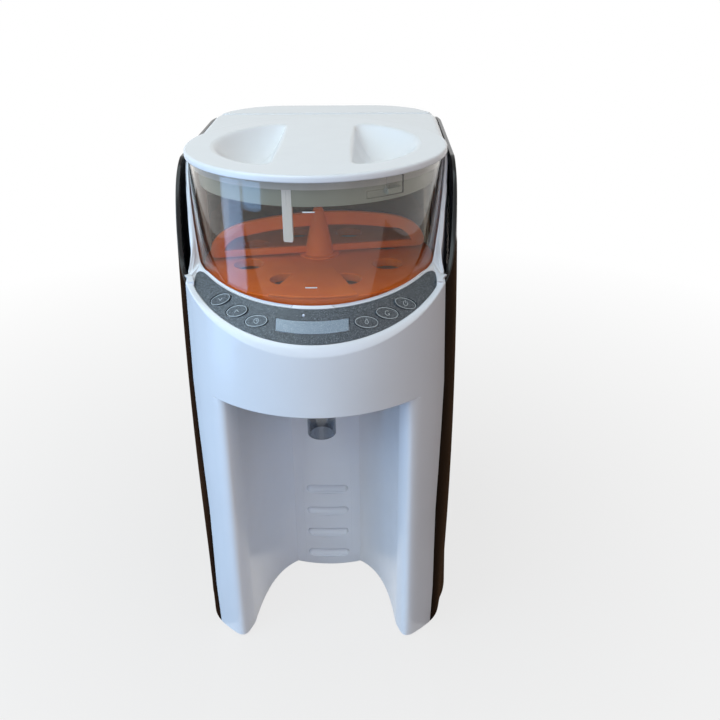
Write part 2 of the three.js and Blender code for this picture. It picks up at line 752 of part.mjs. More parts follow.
// Black housing: side skins, bay wall behind the works, and the shelf that carries the tank
function rearHousing() {
  const skin = bodyBlock(bodyGround, skinTopZ, 0).subtract(bodyBlock(-cutOverrun, lidTopZ, wall));
  const sides = skin.intersect(behind(seamY + seatGap)).subtract(cheekCut(0));
  const bay = block(-farX, farX, tankFrontY, farY, shelfZ, lidTopZ);
  const inner = bodyBlock(bodyGround, skinTopZ, wall - seatGap / 10);
  const bayWall = inner.intersect(block(-farX, farX, tankFrontY - wall, tankFrontY, shelfZ - wall, skinTopZ));
  const shelf = inner.intersect(block(-farX, farX, tankFrontY - wall, farY, shelfZ - wall, shelfZ));
  const vents = Array.from({ length: ventCount }, (_, i) => {
    const x = (i - (ventCount - 1) / 2) * ventPitch;
    const half = ventWidth / 2;
    return block(x - half, x + half, bodyDepth / 2 - 2 * wall, farY, ventLowZ, ventLowZ + ventHeight);
  });
  const glandHole = new THREE.CylinderGeometry(glandRadius, glandRadius, 4 * wall, smallSteps)
    .translate(glandOffset, bodyDepth / 2, glandZ);
  return cut(
    join(sides.subtract(bay), bayWall, shelf),
    rod(valveTubeRadius + cradleClearance, shelfZ - 2 * wall, shelfZ + wall, 0, valveY),
    ...vents,
    toSolid(glandHole),
  );
}

// White deck behind the bowl, inside the black skin, up to the tank
function topDeck() {
  const slab = bodyBlock(bowlFloorZ, bodyHeight, wall + seatGap, deckEdgeRadius);
  const frontY = bowlY + cheekSeamSetback + seatGap;
  const room = block(-farX, farX, frontY, tankFrontY - wall - seatGap, bowlFloorZ, lidTopZ);
  const under = bodyBlock(0, bodyHeight - wall, 2 * wall + seatGap).subtract(
    rod(bowlBore + wall, 0, lidTopZ, 0, bowlY, ringSteps),
  );
  return slab.intersect(room).subtract(under).subtract(rod(bowlBore, 0, lidTopZ, 0, bowlY, ringSteps));
}

function basePlate() {
  const highZ = basePlateZ + basePlateThickness;
  const plate = bodyBlock(basePlateZ, highZ, wall + seatGap);
  const frameHalf = rackHalfWidth + wall + 2 * seatGap;
  const frameRoom = block(-frameHalf, frameHalf, -farY, rackRearY + 2 * seatGap, 0, highZ + wall);
  return cut(plate, nicheBlock(wall + seatGap, 0, highZ + wall), frameRoom);
}

function foot() {
  const topZ = basePlateZ - seatGap;
  return turned([[0, 0], [footRadius - seatGap, 0], [footRadius, topZ / 3], [footRadius, topZ], [0, topZ]], smallSteps);
}

function headFloor() {
  const plate = bodyBlock(headFloorZ, headFloorZ + headFloorThickness, wall + seatGap)
    .intersect(ahead(bowlY + headFloorSetback));
  return plate.subtract(rod(funnelMouthRadius, 0, lidTopZ, 0, bowlY - funnelOffset, ringSteps / 2));
}

function cradlePlate() {
  const plate = rod(bowlBore - seatGap, cradleLowZ, cradleTopZ, 0, 0, ringSteps);
  return cut(plate, rod(hubHoleRadius, 0, lidTopZ), rod(outletRadius, 0, lidTopZ, 0, -outletOffset));
}

const shaftBushing = () =>
  turned([
    [driveShaftRadius + runningClearance, cradleTopZ],
    [driveShaftRadius + runningClearance, cradleTopZ - bushingLength],
    [hubHoleRadius + wall, cradleTopZ - bushingLength],
    [hubHoleRadius + wall, cradleLowZ - seatGap],
    [hubHoleRadius - seatGap, cradleLowZ - seatGap],
    [hubHoleRadius - seatGap, cradleTopZ],
    [driveShaftRadius + runningClearance, cradleTopZ],
  ], smallSteps);

// Tube that drops the powder from the dosing wheel into the funnel
function powderChute() {
  const topZ = cradleLowZ - seatGap;
  const flangeZ = topZ - chuteFlangeThickness;
  return turned([
    [chuteBore, chuteLowZ],
    [chuteRadius, chuteLowZ],
    [chuteRadius, flangeZ],
    [chuteFlangeRadius, flangeZ],
    [chuteFlangeRadius, topZ],
    [chuteBore, topZ],
    [chuteBore, chuteLowZ],
  ], smallSteps + edgeSteps);
}

// Powder bowl: straight smoke wall, floor with hub hole and outlet, foot ring and bayonet grooves
function powderBowl() {
  const floorTop = bowlFloorZ + bowlFloorThickness;
  const shell = turned([
    [0, bowlFloorZ],
    [bowlFootRadius, bowlFloorZ],
    [bowlFootRadius, bowlFloorZ - bowlFootHeight],
    [bowlInner, bowlFloorZ - bowlFootHeight],
    [bowlRadius, bowlFloorZ],
    [bowlRadius, bowlRimZ],
    [bowlInner, bowlRimZ],
    [bowlInner, floorTop],
    [0, floorTop],
  ]);
  const outlet = rod(outletRadius, 0, lidTopZ, 0, -outletOffset);
  return cut(shell, rod(hubHoleRadius, 0, lidTopZ), outlet, ...bayonetGrooves());
}

// A curved bar on the bowl's wall between two angles from straight ahead
function wallSector(inner, outer, fromAngle, toAngle, lowZ, highZ) {
  const shape = new THREE.Shape([
    ...arcPoints(0, 0, outer, fromAngle - 90, toAngle - 90, edgeSteps),
    ...arcPoints(0, 0, inner, toAngle - 90, fromAngle - 90, edgeSteps),
  ]);
  return prism(shape, lowZ, highZ);
}

const bayonetSpan = (width) => width / 2 / skirtRadius / degrees;
const bayonetTurns = () => Array.from({ length: bayonetCount }, (_, i) => bayonetAngle + (360 * i) / bayonetCount);

function bayonetGrooves() {
  const outer = bowlInner + bayonetDepth;
  const inner = bowlInner - wall;
  const half = bayonetSpan(bayonetWidth);
  const slotTopZ = bayonetLowZ + bayonetSlotHeight;
  return bayonetTurns().flatMap((angle) => [
    wallSector(inner, outer, angle - half, angle + half, bayonetLowZ, bowlRimZ + wall),
    wallSector(inner, outer, angle - half - bayonetTurnAngle, angle, bayonetLowZ, slotTopZ),
  ]);
}

// Lid: thin top with a rolled rim, a skirt with lugs and a locating tab, and two finger scoops
function powderLid() {
  const underZ = lidTopZ - lidThickness;
  const rimZ = lidTopZ - lidRimDrop;
  const skirtZ = lidTopZ - skirtDrop;
  const skirtInner = skirtRadius - skirtThickness;
  const edge = lidEdgeRound;
  const plate = turned([
    [0, underZ],
    [skirtInner, underZ],
    [skirtInner, skirtZ],
    [skirtRadius, skirtZ],
    [skirtRadius, rimZ],
    [lidRadius - edge * lidEdgeShare, rimZ],
    [lidRadius, lidTopZ - edge],
    [lidRadius - edge * lidEdgeShare, lidTopZ - edge * lidEdgeShare],
    [lidRadius - edge, lidTopZ],
    [0, lidTopZ],
  ]);
  const tabHalf = bayonetSpan(tabWidth);
  const tab = wallSector(skirtInner, skirtRadius, tabAngle - tabHalf, tabAngle + tabHalf, skirtZ - tabDrop, underZ);
  const lugHalf = bayonetSpan(lugWidth);
  const lugLow = bayonetLowZ + (bayonetSlotHeight - lugHeight) / 2;
  const lugOuter = bowlInner + bayonetDepth - seatGap;
  const lugs = bayonetTurns().map((angle) =>
    wallSector(skirtInner, lugOuter, angle - lugHalf, angle + lugHalf, lugLow, lugLow + lugHeight),
  );
  const dishes = [0, Math.PI].map((turn) => scoop(scoopShell, turn).intersect(rod(skirtRadius, 0, lidTopZ)));
  const scoops = [0, Math.PI].map((turn) => scoop(0, turn));
  return cut(join(plate, tab, ...lugs, ...dishes), ...scoops);
}

// One finger scoop: a steep wall by the grip bar and a floor that rises to the round outer edge
function scoop(grow, turn) {
  const low = lidTopZ - scoopDepth - grow;
  const inner = gripHalfWidth - grow;
  const outer = scoopRadius + grow;
  const top = lidTopZ + (grow ? 0 : wall);
  const [wallBend, floorBend] = scoopBendShares.map((share) => inner + scoopWallRun * share);
  const shape = new THREE.Shape();
  shape.moveTo(inner, top);
  shape.lineTo(inner, lidTopZ);
  shape.quadraticCurveTo(wallBend, low, inner + scoopWallRun, low);
  shape.quadraticCurveTo(floorBend, low, outer, lidTopZ - grow / 2);
  shape.lineTo(outer, top);
  const settings = { depth: 2 * outer, bevelEnabled: false, curveSegments: edgeSteps };
  const geometry = new THREE.ExtrudeGeometry(shape, settings).rotateX(Math.PI / 2).translate(0, outer, 0);
  const bound = new THREE.CylinderGeometry(outer, outer, 4 * scoopDepth, ringSteps).rotateX(Math.PI / 2);
  bound.translate(0, 0, lidTopZ);
  return toSolid(geometry.rotateZ(turn)).intersect(toSolid(bound));
}

function lidSeal() {
  const lowZ = bowlRimZ - lidSealDrop;
  return ring(bowlInner - seatGap, skirtRadius + seatGap, lowZ, lowZ + lidSealHeight);
}

const outletSeal = () =>
  ring(outletRadius + outletSealWidth, outletRadius, cradleTopZ + seatGap, bowlFloorZ - seatGap, smallSteps);

const hexagon = (radius, lowZ, highZ) => rod(radius, lowZ, highZ, 0, 0, dogSides);

// Plate over the outlet that wipes each pocket level
function wiperPlate() {
  const [outer, lowZ] = [bowlInner - seatGap, dosingTopZ + seatGap];
  return wallSector(wiperInnerRadius, outer, -wiperHalfAngle, wiperHalfAngle, lowZ, lowZ + wiperThickness);
}

function dosingWheel() {
  const disc = rod(dosingRadius, dosingLowZ, dosingTopZ, 0, 0, ringSteps);
  const pockets = Array.from({ length: dosingPocketCount }, (_, i) => {
    const angle = (2 * Math.PI * (i + 0.5)) / dosingPocketCount;
    const [x, y] = [outletOffset * Math.cos(angle), outletOffset * Math.sin(angle)];
    return rod(dosingPocketRadius, 0, lidTopZ, x, y);
  });
  return cut(disc, hexagon(dogRadius + seatGap, 0, lidTopZ), ...pockets);
}

// Stirrer: a tall cone on the hub and two looped blades that sweep the bowl
function stirringWheel() {
  const lowZ = dosingTopZ + seatGap;
  const profile = [
    [0, lowZ],
    [stirrerHubRadius, lowZ],
    [stirrerHubRadius, lowZ + stirrerHubHeight],
    ...stirrerConeShares.map(([out, up]) => [stirrerConeRadius * out, lowZ + stirrerConeHeight * up]),
    [0, lowZ + stirrerConeHeight],
  ];
  const cone = turned(profile, smallSteps + edgeSteps);
  const socketTop = dogLowZ + dogHeight + seatGap;
  return cut(join(cone, ...stirrerArmAngles.map(stirrerArm)), hexagon(dogRadius + seatGap, 0, socketTop));
}

// One blade: a bar along the wheel and a band that falls from the hub to the bar's end
function stirrerArm(angle) {
  const low = dosingTopZ + 2 * seatGap + wiperThickness;
  const [bar, band, reach] = [stirrerBarHeight, stirrerBandHeight, stirrerReach];
  const top = low + stirrerLoopHeight;
  const bendTop = top - stirrerLoopFall;
  const bendX = reach * stirrerLoopBendShare;
  const shape = new THREE.Shape();
  shape.moveTo(0, low);
  shape.lineTo(reach - bar / 2, low);
  shape.quadraticCurveTo(reach, low, reach, low + bar / 2);
  shape.quadraticCurveTo(reach - bar / 2, bendTop - band / 2, bendX, bendTop);
  shape.quadraticCurveTo(bendX / 2, top, 0, top);
  const hole = new THREE.Path();
  const inner = stirrerHubRadius;
  hole.moveTo(inner, low + bar);
  hole.lineTo(reach - 2 * bar, low + bar);
  hole.quadraticCurveTo(reach - 3 * bar, bendTop - band, bendX, bendTop - band);
  hole.quadraticCurveTo(bendX / 2, top - band, inner, top - band);
  shape.holes.push(hole);
  const settings = { depth: stirrerArmThickness, bevelEnabled: false, curveSegments: edgeSteps };
  const geometry = new THREE.ExtrudeGeometry(shape, settings).translate(0, 0, -stirrerArmThickness / 2);
  return toSolid(geometry.rotateX(Math.PI / 2).rotateZ(angle * degrees));
}

// Spur gear outline with involute flanks, its first tooth turned by a share of a step
function gearShape(teeth, share) {
  const pitch = (gearModule * teeth) / 2;
  const base = pitch * Math.cos(gearPressureAngle * degrees);
  const step = (2 * Math.PI) / teeth;
  const involute = (radius) => Math.sqrt((radius / base) ** 2 - 1) - Math.acos(base / radius);
  const halfAtPitch = step / 4 - gearBacklash / 2 / pitch;
  const halfAt = (radius) => halfAtPitch + involute(pitch) - involute(Math.max(radius, base));
  const [root, tip] = [pitch - gearRootShare * gearModule, pitch + gearModule];
  const flanks = [[root, -1], [tip, -1], [tip, 1], [root, 1]];
  const points = [];
  for (let i = 0; i < teeth; i += 1) {
    for (const [radius, side] of flanks) {
      const angle = (i + share) * step + side * halfAt(radius);
      points.push(new THREE.Vector2(radius * Math.cos(angle), radius * Math.sin(angle)));
    }
  }
  return new THREE.Shape(points);
}

function driveGear() {
  const top = gearZ + gearThickness;
  const relief = ring(
    gearPitchRadius - gearRimWidth,
    gearHubRadius,
    gearZ + gearWebThickness,
    top + wall,
    smallSteps * 2,
  );
  const body = prism(gearShape(gearTeeth, 0), gearZ, top);
  const hub = rod(gearHubRadius, gearZ, top + wall);
  return cut(join(body.subtract(relief), hub), rod(driveShaftRadius + seatGap, 0, lidTopZ));
}

function driveShaft() {
  const shaft = rod(driveShaftRadius, headFloorZ + headFloorThickness + seatGap, dogLowZ + seatGap);
  const dog = hexagon(dogRadius, dogLowZ, dogLowZ + dogHeight);
  const collar = rod(gearHubRadius, gearZ - gearWebThickness - seatGap, gearZ - seatGap);
  return join(shaft, dog, collar);
}

// Pinion with its stub shaft, turned so that a tooth meets a gap straight behind the gear
function motorPinion() {
  const low = gearZ - pinionOverlap;
  const shape = gearShape(pinionTeeth, ((pinionTeeth * 3 + gearTeeth + 2) / 4) % 1);
  const body = prism(shape, low, gearZ + gearThickness + pinionOverlap);
  const shaft = rod(motorShaftRadius, gearPlateZ - motorSocketDepth, low + wall);
  return join(body, shaft);
}

function driveMotor() {
  const top = gearPlateZ - seatGap;
  const can = turned([
    [0, top - motorHeight],
    [motorRadius - wall, top - motorHeight],
    [motorRadius, top - motorHeight + wall],
    [motorRadius, top],
    [motorNeckRadius, top],
    [motorNeckRadius, top + motorNeckHeight],
    [0, top + motorNeckHeight],
  ], smallSteps + edgeSteps);
  return can.subtract(rod(motorShaftRadius + seatGap, gearPlateZ - motorSocketDepth - seatGap, lidTopZ));
}

// Plate that carries the gear train, on three standoffs from the head floor
function gearPlate() {
  const high = gearPlateZ + gearPlateThickness;
  const half = gearPlateHalfWidth;
  const corner = 2 * standoffRadius;
  const shape = new THREE.Shape();
  shape.moveTo(corner - half, -gearPlateFront);
  shape.lineTo(half - corner, -gearPlateFront);
  shape.quadraticCurveTo(half, -gearPlateFront, half, corner - gearPlateFront);
  shape.lineTo(motorRadius + corner, gearPlateRear);
  shape.lineTo(-motorRadius - corner, gearPlateRear);
  shape.lineTo(-half, corner - gearPlateFront);
  shape.quadraticCurveTo(-half, -gearPlateFront, corner - half, -gearPlateFront);
  const floorTop = headFloorZ + headFloorThickness + seatGap;
  const legs = [-1, 1].map((side) =>
    rod(standoffRadius, floorTop, high, side * (half - corner), corner - gearPlateFront),
  );
  const sleeve = rod(standoffRadius + driveShaftRadius, floorTop, high);
  return cut(
    join(prism(shape, gearPlateZ, high), sleeve, ...legs),
    rod(driveShaftRadius + seatGap, 0, lidTopZ),
    rod(motorNeckRadius + seatGap, 0, lidTopZ, 0, gearCentres),
    rod(nozzleRadius + seatGap, 0, lidTopZ, nozzleAside, -nozzleOffset),
  );
}

// Funnel, measured from its own axis: flange with side ears, cone and spout
function mixingFunnel() {
  const top = funnelFlangeTopZ;
  const under = top - funnelFlangeThickness;
  const inner = funnelMouthRadius - funnelWall;
  const spoutInner = spoutRadius - funnelWall;
  const [spoutTopZ, spoutLowZ] = [lipZ - spoutTopDrop, lipZ - spoutBottomDrop];
  const body = turned([
    [spoutInner, spoutLowZ],
    [spoutRadius, spoutLowZ],
    [spoutRadius, spoutTopZ],
    [funnelMouthRadius, under],
    [funnelFlangeRadius, under],
    [funnelFlangeRadius, top],
    [inner, top],
    [inner, under],
    [spoutInner, spoutTopZ],
    [spoutInner, spoutLowZ],
  ], noseSteps);
  const earReach = funnelFlangeRadius + funnelEarWidth;
  const ears = block(-earReach, earReach, -funnelEarHalfLength, funnelEarHalfLength, under, top);
  const pullHalf = funnelPullWidth / 2;
  const pullFront = -funnelFlangeRadius - funnelPullReach;
  const pull = block(-pullHalf, pullHalf, pullFront, -funnelMouthRadius, under, top);
  return join(body, join(ears, pull).subtract(rod(funnelMouthRadius - funnelWall / 2, 0, top + wall)));
}

function funnelCover() {
  const lowZ = funnelFlangeTopZ + seatGap;
  const inner = funnelFlangeRadius - coverWidth;
  return turned([
    [inner, lowZ],
    [funnelFlangeRadius, lowZ],
    [funnelFlangeRadius, lowZ + coverHeight / 2],
    [funnelFlangeRadius - coverHeight / 2, lowZ + coverHeight],
    [inner, lowZ + coverHeight],
    [inner, lowZ],
  ], noseSteps);
}

// One C-shaped rail under the head floor, on the right; the left one is its mirror
function funnelRail(side) {
  const inner = funnelFlangeRadius + 2 * seatGap;
  const outer = inner + railWidth;
  const earLowZ = funnelFlangeTopZ - funnelFlangeThickness - seatGap;
  const earTopZ = funnelFlangeTopZ + seatGap;
  const topZ = headFloorZ - seatGap;
  const front = -railLength / 2 - railShift;
  const body = block(inner, outer, front, front + railLength, earLowZ - railLipThickness, topZ);
  const room = (lowZ, highZ) => block(inner - wall, outer - railWeb, -railLength, railLength, lowZ, highZ);
  const groove = room(earLowZ, earTopZ);
  const top = room(earTopZ + railLipThickness, topZ + wall);
  const right = cut(body, groove, top);
  return side > 0 ? right : mirrored(right);
}

// The same solid on the other side of the middle
function mirrored(one) {
  const mesh = one.getMesh();
  const places = Float32Array.from(mesh.vertProperties, (value, i) => (i % 3 ? value : -value));
  const faces = new Uint32Array(mesh.triVerts).reverse();
  return new wasm.Manifold(new wasm.Mesh({ numProp: 3, vertProperties: places, triVerts: faces }));
}

function waterNozzle() {
  const seat = gearPlateZ + gearPlateThickness + seatGap;
  const headTop = seat + nozzleHeadHeight;
  return turned([
    [nozzleBore, chuteLowZ],
    [nozzleRadius - seatGap, chuteLowZ],
    [nozzleRadius, chuteLowZ + nozzleSpigot],
    [nozzleRadius, seat],
    [nozzleHeadRadius, seat],
    [nozzleHeadRadius, headTop],
    [nozzleBore, headTop],
    [nozzleBore, chuteLowZ],
  ], smallSteps);
}

// Tank, flush with the body behind the works, open at the top, with a valve tube in its floor
function waterTank() {
  const lowZ = shelfZ + seatGap;
  const front = tankFrontY + seatGap;
  const outer = bodyBlock(lowZ, tankTopZ, 0).intersect(behind(front));
  const inner = bodyBlock(lowZ + wall, lidTopZ, tankWall).intersect(behind(front + tankWall));
  const tube = rod(valveTubeRadius, shelfZ - valveTubeDrop, lowZ + wall / 2, 0, valveY);
  return cut(outer.subtract(inner).add(tube), rod(valveTubeBore, 0, lidTopZ, 0, valveY));
}

// Tank lid: plate with a rounded edge and a skirt that drops inside the tank wall
function tankLid() {
  const plateZ = tankTopZ + seatGap;
  const front = tankFrontY + seatGap;
  const inset = tankLidInset;
  const plate = bodyBlock(plateZ, bodyHeight, inset, bodyHeight - plateZ - wall / 2).intersect(behind(front));
  const outerInset = tankWall + seatGap;
  const innerInset = outerInset + tankLidPlate;
  const hollow = bodyBlock(0, lidTopZ, innerInset).intersect(behind(front + innerInset));
  const skirt = bodyBlock(plateZ - tankLidSkirt, plateZ + wall / 2, outerInset)
    .intersect(behind(front + outerInset))
    .subtract(hollow);
  return plate.add(skirt);
}

function valveSeat() {
  const topZ = shelfZ - wall - seatGap;
  const bore = valveTubeRadius + cradleClearance;
  const outer = bore + valveSocketWall;
  const floorZ = shelfZ - valveTubeDrop - valveSocketFloor - seatGap;
  const lowZ = floorZ - valveSocketFloor;
  const cup = turned([
    [0, lowZ],
    [outer, lowZ],
    [outer, topZ],
    [bore, topZ],
    [bore, floorZ],
    [0, floorZ],
  ], smallSteps);
  const port = rod(portRadius, lowZ - portLength, lowZ + seatGap, 0, seatPortY);
  const pin = rod(valvePinRadius, floorZ - seatGap, stemLowZ - seatGap);
  const bored = rod(nozzleBore, lowZ - 2 * portLength, floorZ + wall, 0, seatPortY);
  return moved(join(cup, pin), 0, valveY).add(port).subtract(bored);
}

// Shifts a solid in plan
function moved(one, x, y) {
  const mesh = one.getMesh();
  const shift = [x, y, 0];
  const places = Float32Array.from(mesh.vertProperties, (value, i) => value + shift[i % 3]);
  return new wasm.Manifold(new wasm.Mesh({ numProp: 3, vertProperties: places, triVerts: mesh.triVerts }));
}

function valvePlunger() {
  return turned([
    [0, stemLowZ],
    [valveStemRadius, stemLowZ],
    [valveStemRadius, valveHeadZ],
    [valveHeadRadius, valveHeadZ],
    [valveHeadRadius, valveHeadZ + valveHeadThickness / 2],
    [valveHeadRadius - valveHeadThickness, valveHeadZ + valveHeadThickness],
    [0, valveHeadZ + valveHeadThickness],
  ], smallSteps);
}

function valveGuide() {
  const lowZ = shelfZ - valveTubeDrop + seatGap;
  const disc = ring(valveTubeBore - seatGap, valveStemRadius + seatGap, lowZ, lowZ + guideThickness, smallSteps);
  const middle = (valveTubeBore + valveStemRadius) / 2;
  const holes = Array.from({ length: guideHoleCount }, (_, i) => {
    const angle = (2 * Math.PI * i) / guideHoleCount;
    return rod(guideHoleRadius, 0, shelfZ, middle * Math.cos(angle), middle * Math.sin(angle), 2 * edgeSteps);
  });
  return cut(disc, ...holes);
}

// Open cage over the valve, which the spring pushes against
function valveCage() {
  const top = valveHeadZ + cageHeight;
  const steps = smallSteps + edgeSteps;
  const [windowLowZ, windowTopZ] = [valveHeadZ + 2 * cageTopThickness, top - 2 * cageTopThickness];
  const half = cageRadius - cageLegWidth;
  const reach = 2 * cageRadius;
  return cut(
    rod(cageRadius, valveHeadZ, top, 0, 0, steps),
    rod(cageRadius - cageTopThickness, valveHeadZ - wall, top - cageTopThickness, 0, 0, steps),
    block(-reach, reach, -half, half, windowLowZ, windowTopZ),
    block(-half, half, -reach, reach, windowLowZ, windowTopZ),
  );
}

// Compression spring between the valve head and the cage roof
function valveSpring() {
  const low = valveHeadZ + valveHeadThickness + seatGap + springWireRadius;
  const high = valveHeadZ + cageHeight - cageTopThickness - seatGap - springWireRadius;
  const steps = springTurns * coilSteps;
  const points = Array.from({ length: steps + 1 }, (_, i) => {
    const angle = (2 * Math.PI * i) / coilSteps;
    const z = low + ((high - low) * i) / steps;
    return new THREE.Vector3(springCoilRadius * Math.cos(angle), springCoilRadius * Math.sin(angle), z);
  });
  const wire = new THREE.Shape().absarc(0, 0, springWireRadius, 0, 2 * Math.PI);
  const path = new THREE.CatmullRomCurve3(points);
  return toSolid(new THREE.ExtrudeGeometry(wire, { extrudePath: path, steps, curveSegments: wireSteps }));
}

// A pipe along a smooth line through hand-placed points
function pipe(points) {
  const section = new THREE.Shape().absarc(0, 0, tubeRadius, 0, 2 * Math.PI);
  const bends = points.map(([x, y, z]) => new THREE.Vector3(x, y, z));
  const extrudePath = new THREE.CatmullRomCurve3(bends, false, "centripetal");
  const steps = edgeSteps * (points.length - 1);
  return toSolid(new THREE.ExtrudeGeometry(section, { extrudePath, steps, curveSegments: wireSteps }));
}

function waterPump() {
  const low = floorTopZ;
  const body = turned([
    [0, low],
    [pumpRadius, low],
    [pumpRadius, low + pumpHeight],
    [pumpHeadRadius, low + pumpHeight],
    [pumpHeadRadius, pumpTopZ],
    [0, pumpTopZ],
  ], smallSteps + edgeSteps);
  const ports = [-1, 1].map((side) => rod(portRadius, pumpTopZ - wall, portTopZ, 0, side * pumpPortOffset));
  return join(body, ...ports);
}

function waterHeater() {
  const top = heaterTopZ;
  const body = turned([
    [0, floorTopZ],
    [heaterCapRadius, floorTopZ],
    [heaterCapRadius, floorTopZ + heaterCapHeight],
    [heaterRadius, floorTopZ + heaterCapHeight],
    [heaterRadius, top - heaterCapHeight],
    [heaterCapRadius, top - heaterCapHeight],
    [heaterCapRadius, top],
    [0, top],
  ], smallSteps + edgeSteps);
  const ports = [-1, 1].map((side) => rod(portRadius, top - wall, top + portLength, side * heaterPortOffset));
  return join(body, ...ports);
}

// Power supply board on two feet, with its transformer and capacitors
function powerBoard() {
  const half = boardHalfLength;
  const size = transformerSize;
  const high = floorTopZ + boardHeight;
  const lowZ = floorTopZ + boardFootThickness / 2;
  const board = block(-boardThickness / 2, boardThickness / 2, -half, half, lowZ, high);
  const transformer = block(0, transformerWidth, -size / 2, size / 2, floorTopZ + size, floorTopZ + 2 * size);
  const cans = [-1, 1].map((side) => {
    const can = new THREE.CylinderGeometry(capacitorRadius, capacitorRadius, capacitorHeight, smallSteps);
    can.rotateZ(Math.PI / 2).translate(capacitorHeight / 2, side * (size / 2 + capacitorRadius), floorTopZ + 3 * size);
    return toSolid(can);
  });
  const foot = boardFootLength / 2;
  const feet = [foot - half, half - foot].map((y) =>
    block(-foot, 2 * foot, y - foot, y + foot, floorTopZ, floorTopZ + boardFootThickness),
  );
  return join(board, transformer, ...cans, ...feet);
}

function cordGland() {
  const neck = glandRadius - seatGap;
  const flangeY = -wall - seatGap;
  const points = [
    [glandBore, -glandDepth],
    [neck, -glandDepth],
    [neck, flangeY - glandFlange],
    [glandFlangeRadius, flangeY - glandFlange],
    [glandFlangeRadius, flangeY],
    [neck, flangeY],
    [neck, -seatGap],
    [glandBore, -seatGap],
    [glandBore, -glandDepth],
  ];
  const geometry = new THREE.LatheGeometry(points.map(([x, y]) => new THREE.Vector2(x, y)), smallSteps);
  return toSolid(geometry.translate(glandOffset, bodyDepth / 2, glandZ));
}

// Micro switch that feels the funnel home, under the head floor behind the funnel
function funnelSwitch() {
  const topZ = headFloorZ - seatGap;
  const front = funnelFlangeRadius + 2 * seatGap;
  const half = switchLength / 2;
  return block(-half, half, front, front + switchDepth, topZ - switchHeight, topZ);
}

// Display strip behind the window, curved with the panel
const displayModule = () => displayStrip(0, displayFace - displayThickness, displayFace);

// Switch board under one bank of keys
function keyBoard(side) {
  const high = keyProud - keyDepth - keyTravel - keyBoardClearance;
  const [from, to] = keyBoardAngles.map((angle) => side * angle).sort((a, b) => a - b);
  return crescentStrip(from, to, keyBoardShares, high - keyBoardThickness, high);
}

const windowLens = () => windowStrip(-seatGap, -overlayThickness, 0);

function controlPanel() {
  return cut(
    overlayStrip(0, -overlayThickness, 0),
    windowStrip(0, -2 * wall, wall),
    ledHole(ledRadius + seatGap),
    ...keyPlaces.map(keyHole),
  );
}

function statusLed() {
  const geometry = new THREE.CylinderGeometry(ledRadius, ledRadius, ledLength, smallSteps)
    .rotateX(Math.PI / 2)
    .translate(0, 0, -ledLength / 2);
  return toSolid(geometry.applyMatrix4(keyFrame(ledAngle, ledAcrossShare)));
}

const colours = {
  white: [0xeef0f2, 0.22, 0],
  black: [0x0b0b0d, 0.12, 0],
  smoke: [0x4f4640, 0.08, 0],
  slate: [0x5a636b, 0.5, 0],
  orange: [0xc8602a, 0.4, 0],
  rubber: [0x1c1c1e, 0.85, 0],
  silicone: [0xb9bdc0, 0.6, 0],
  greyClear: [0x5f6b74, 0.15, 0],
  acetal: [0xdcdad2, 0.45, 0],
  steel: [0xa7a9ac, 0.35, 1],
  nylon: [0x2b2d30, 0.6, 0],
  board: [0x1f5a3a, 0.5, 0],
  glass: [0x9fb0ba, 0.15, 0],
  led: [0xe8f0ff, 0.3, 0],
};

function mesh(name, one, colour) {
  const made = one.getMesh();
  const geometry = new THREE.BufferGeometry();
  geometry.setAttribute("position", new THREE.BufferAttribute(new Float32Array(made.vertProperties), 3));
  geometry.setIndex(new THREE.BufferAttribute(new Uint32Array(made.triVerts), 1));
  const [color, roughness, metalness] = colours[colour];
  const result = new THREE.Mesh(geometry, new THREE.MeshStandardMaterial({ color, roughness, metalness }));
  result.name = name;
  return result;
}

function groupAt(x, y, ...meshes) {
  const group = new THREE.Group();
  group.position.set(x, y, 0);
  group.add(...meshes);
  return group;
}

function feet() {
  const [frontX, frontReach] = footFrontShares.map((share) => bodyHalfWidth * share);
  const [rearX, rearY] = [bodyHalfWidth * footRearShare, bodyDepth / 2 - footRearInset];
  const places = {
    foot_front_left: [-frontX, bowlY + frontReach],
    foot_front_right: [frontX, bowlY + frontReach],
    foot_rear_left: [-rearX, rearY],
    foot_rear_right: [rearX, rearY],
  };
  return Object.entries(places).map(([name, [x, y]]) => groupAt(x, y, mesh(name, foot(), "rubber")));
}

function keys() {
  const cap = toSolid(ovalGeometry(keyHalfLength, keyHalfHeight, keyProud - keyDepth, keyProud));
  return keyPlaces.map(({ angle, share }, i) => {
    const key = mesh(`key_${angle < 0 ? "left" : "right"}_${(i % keyAngles.length) + 1}`, cap, "slate");
    key.applyMatrix4(keyFrame(angle, share));
    return key;
  });
}

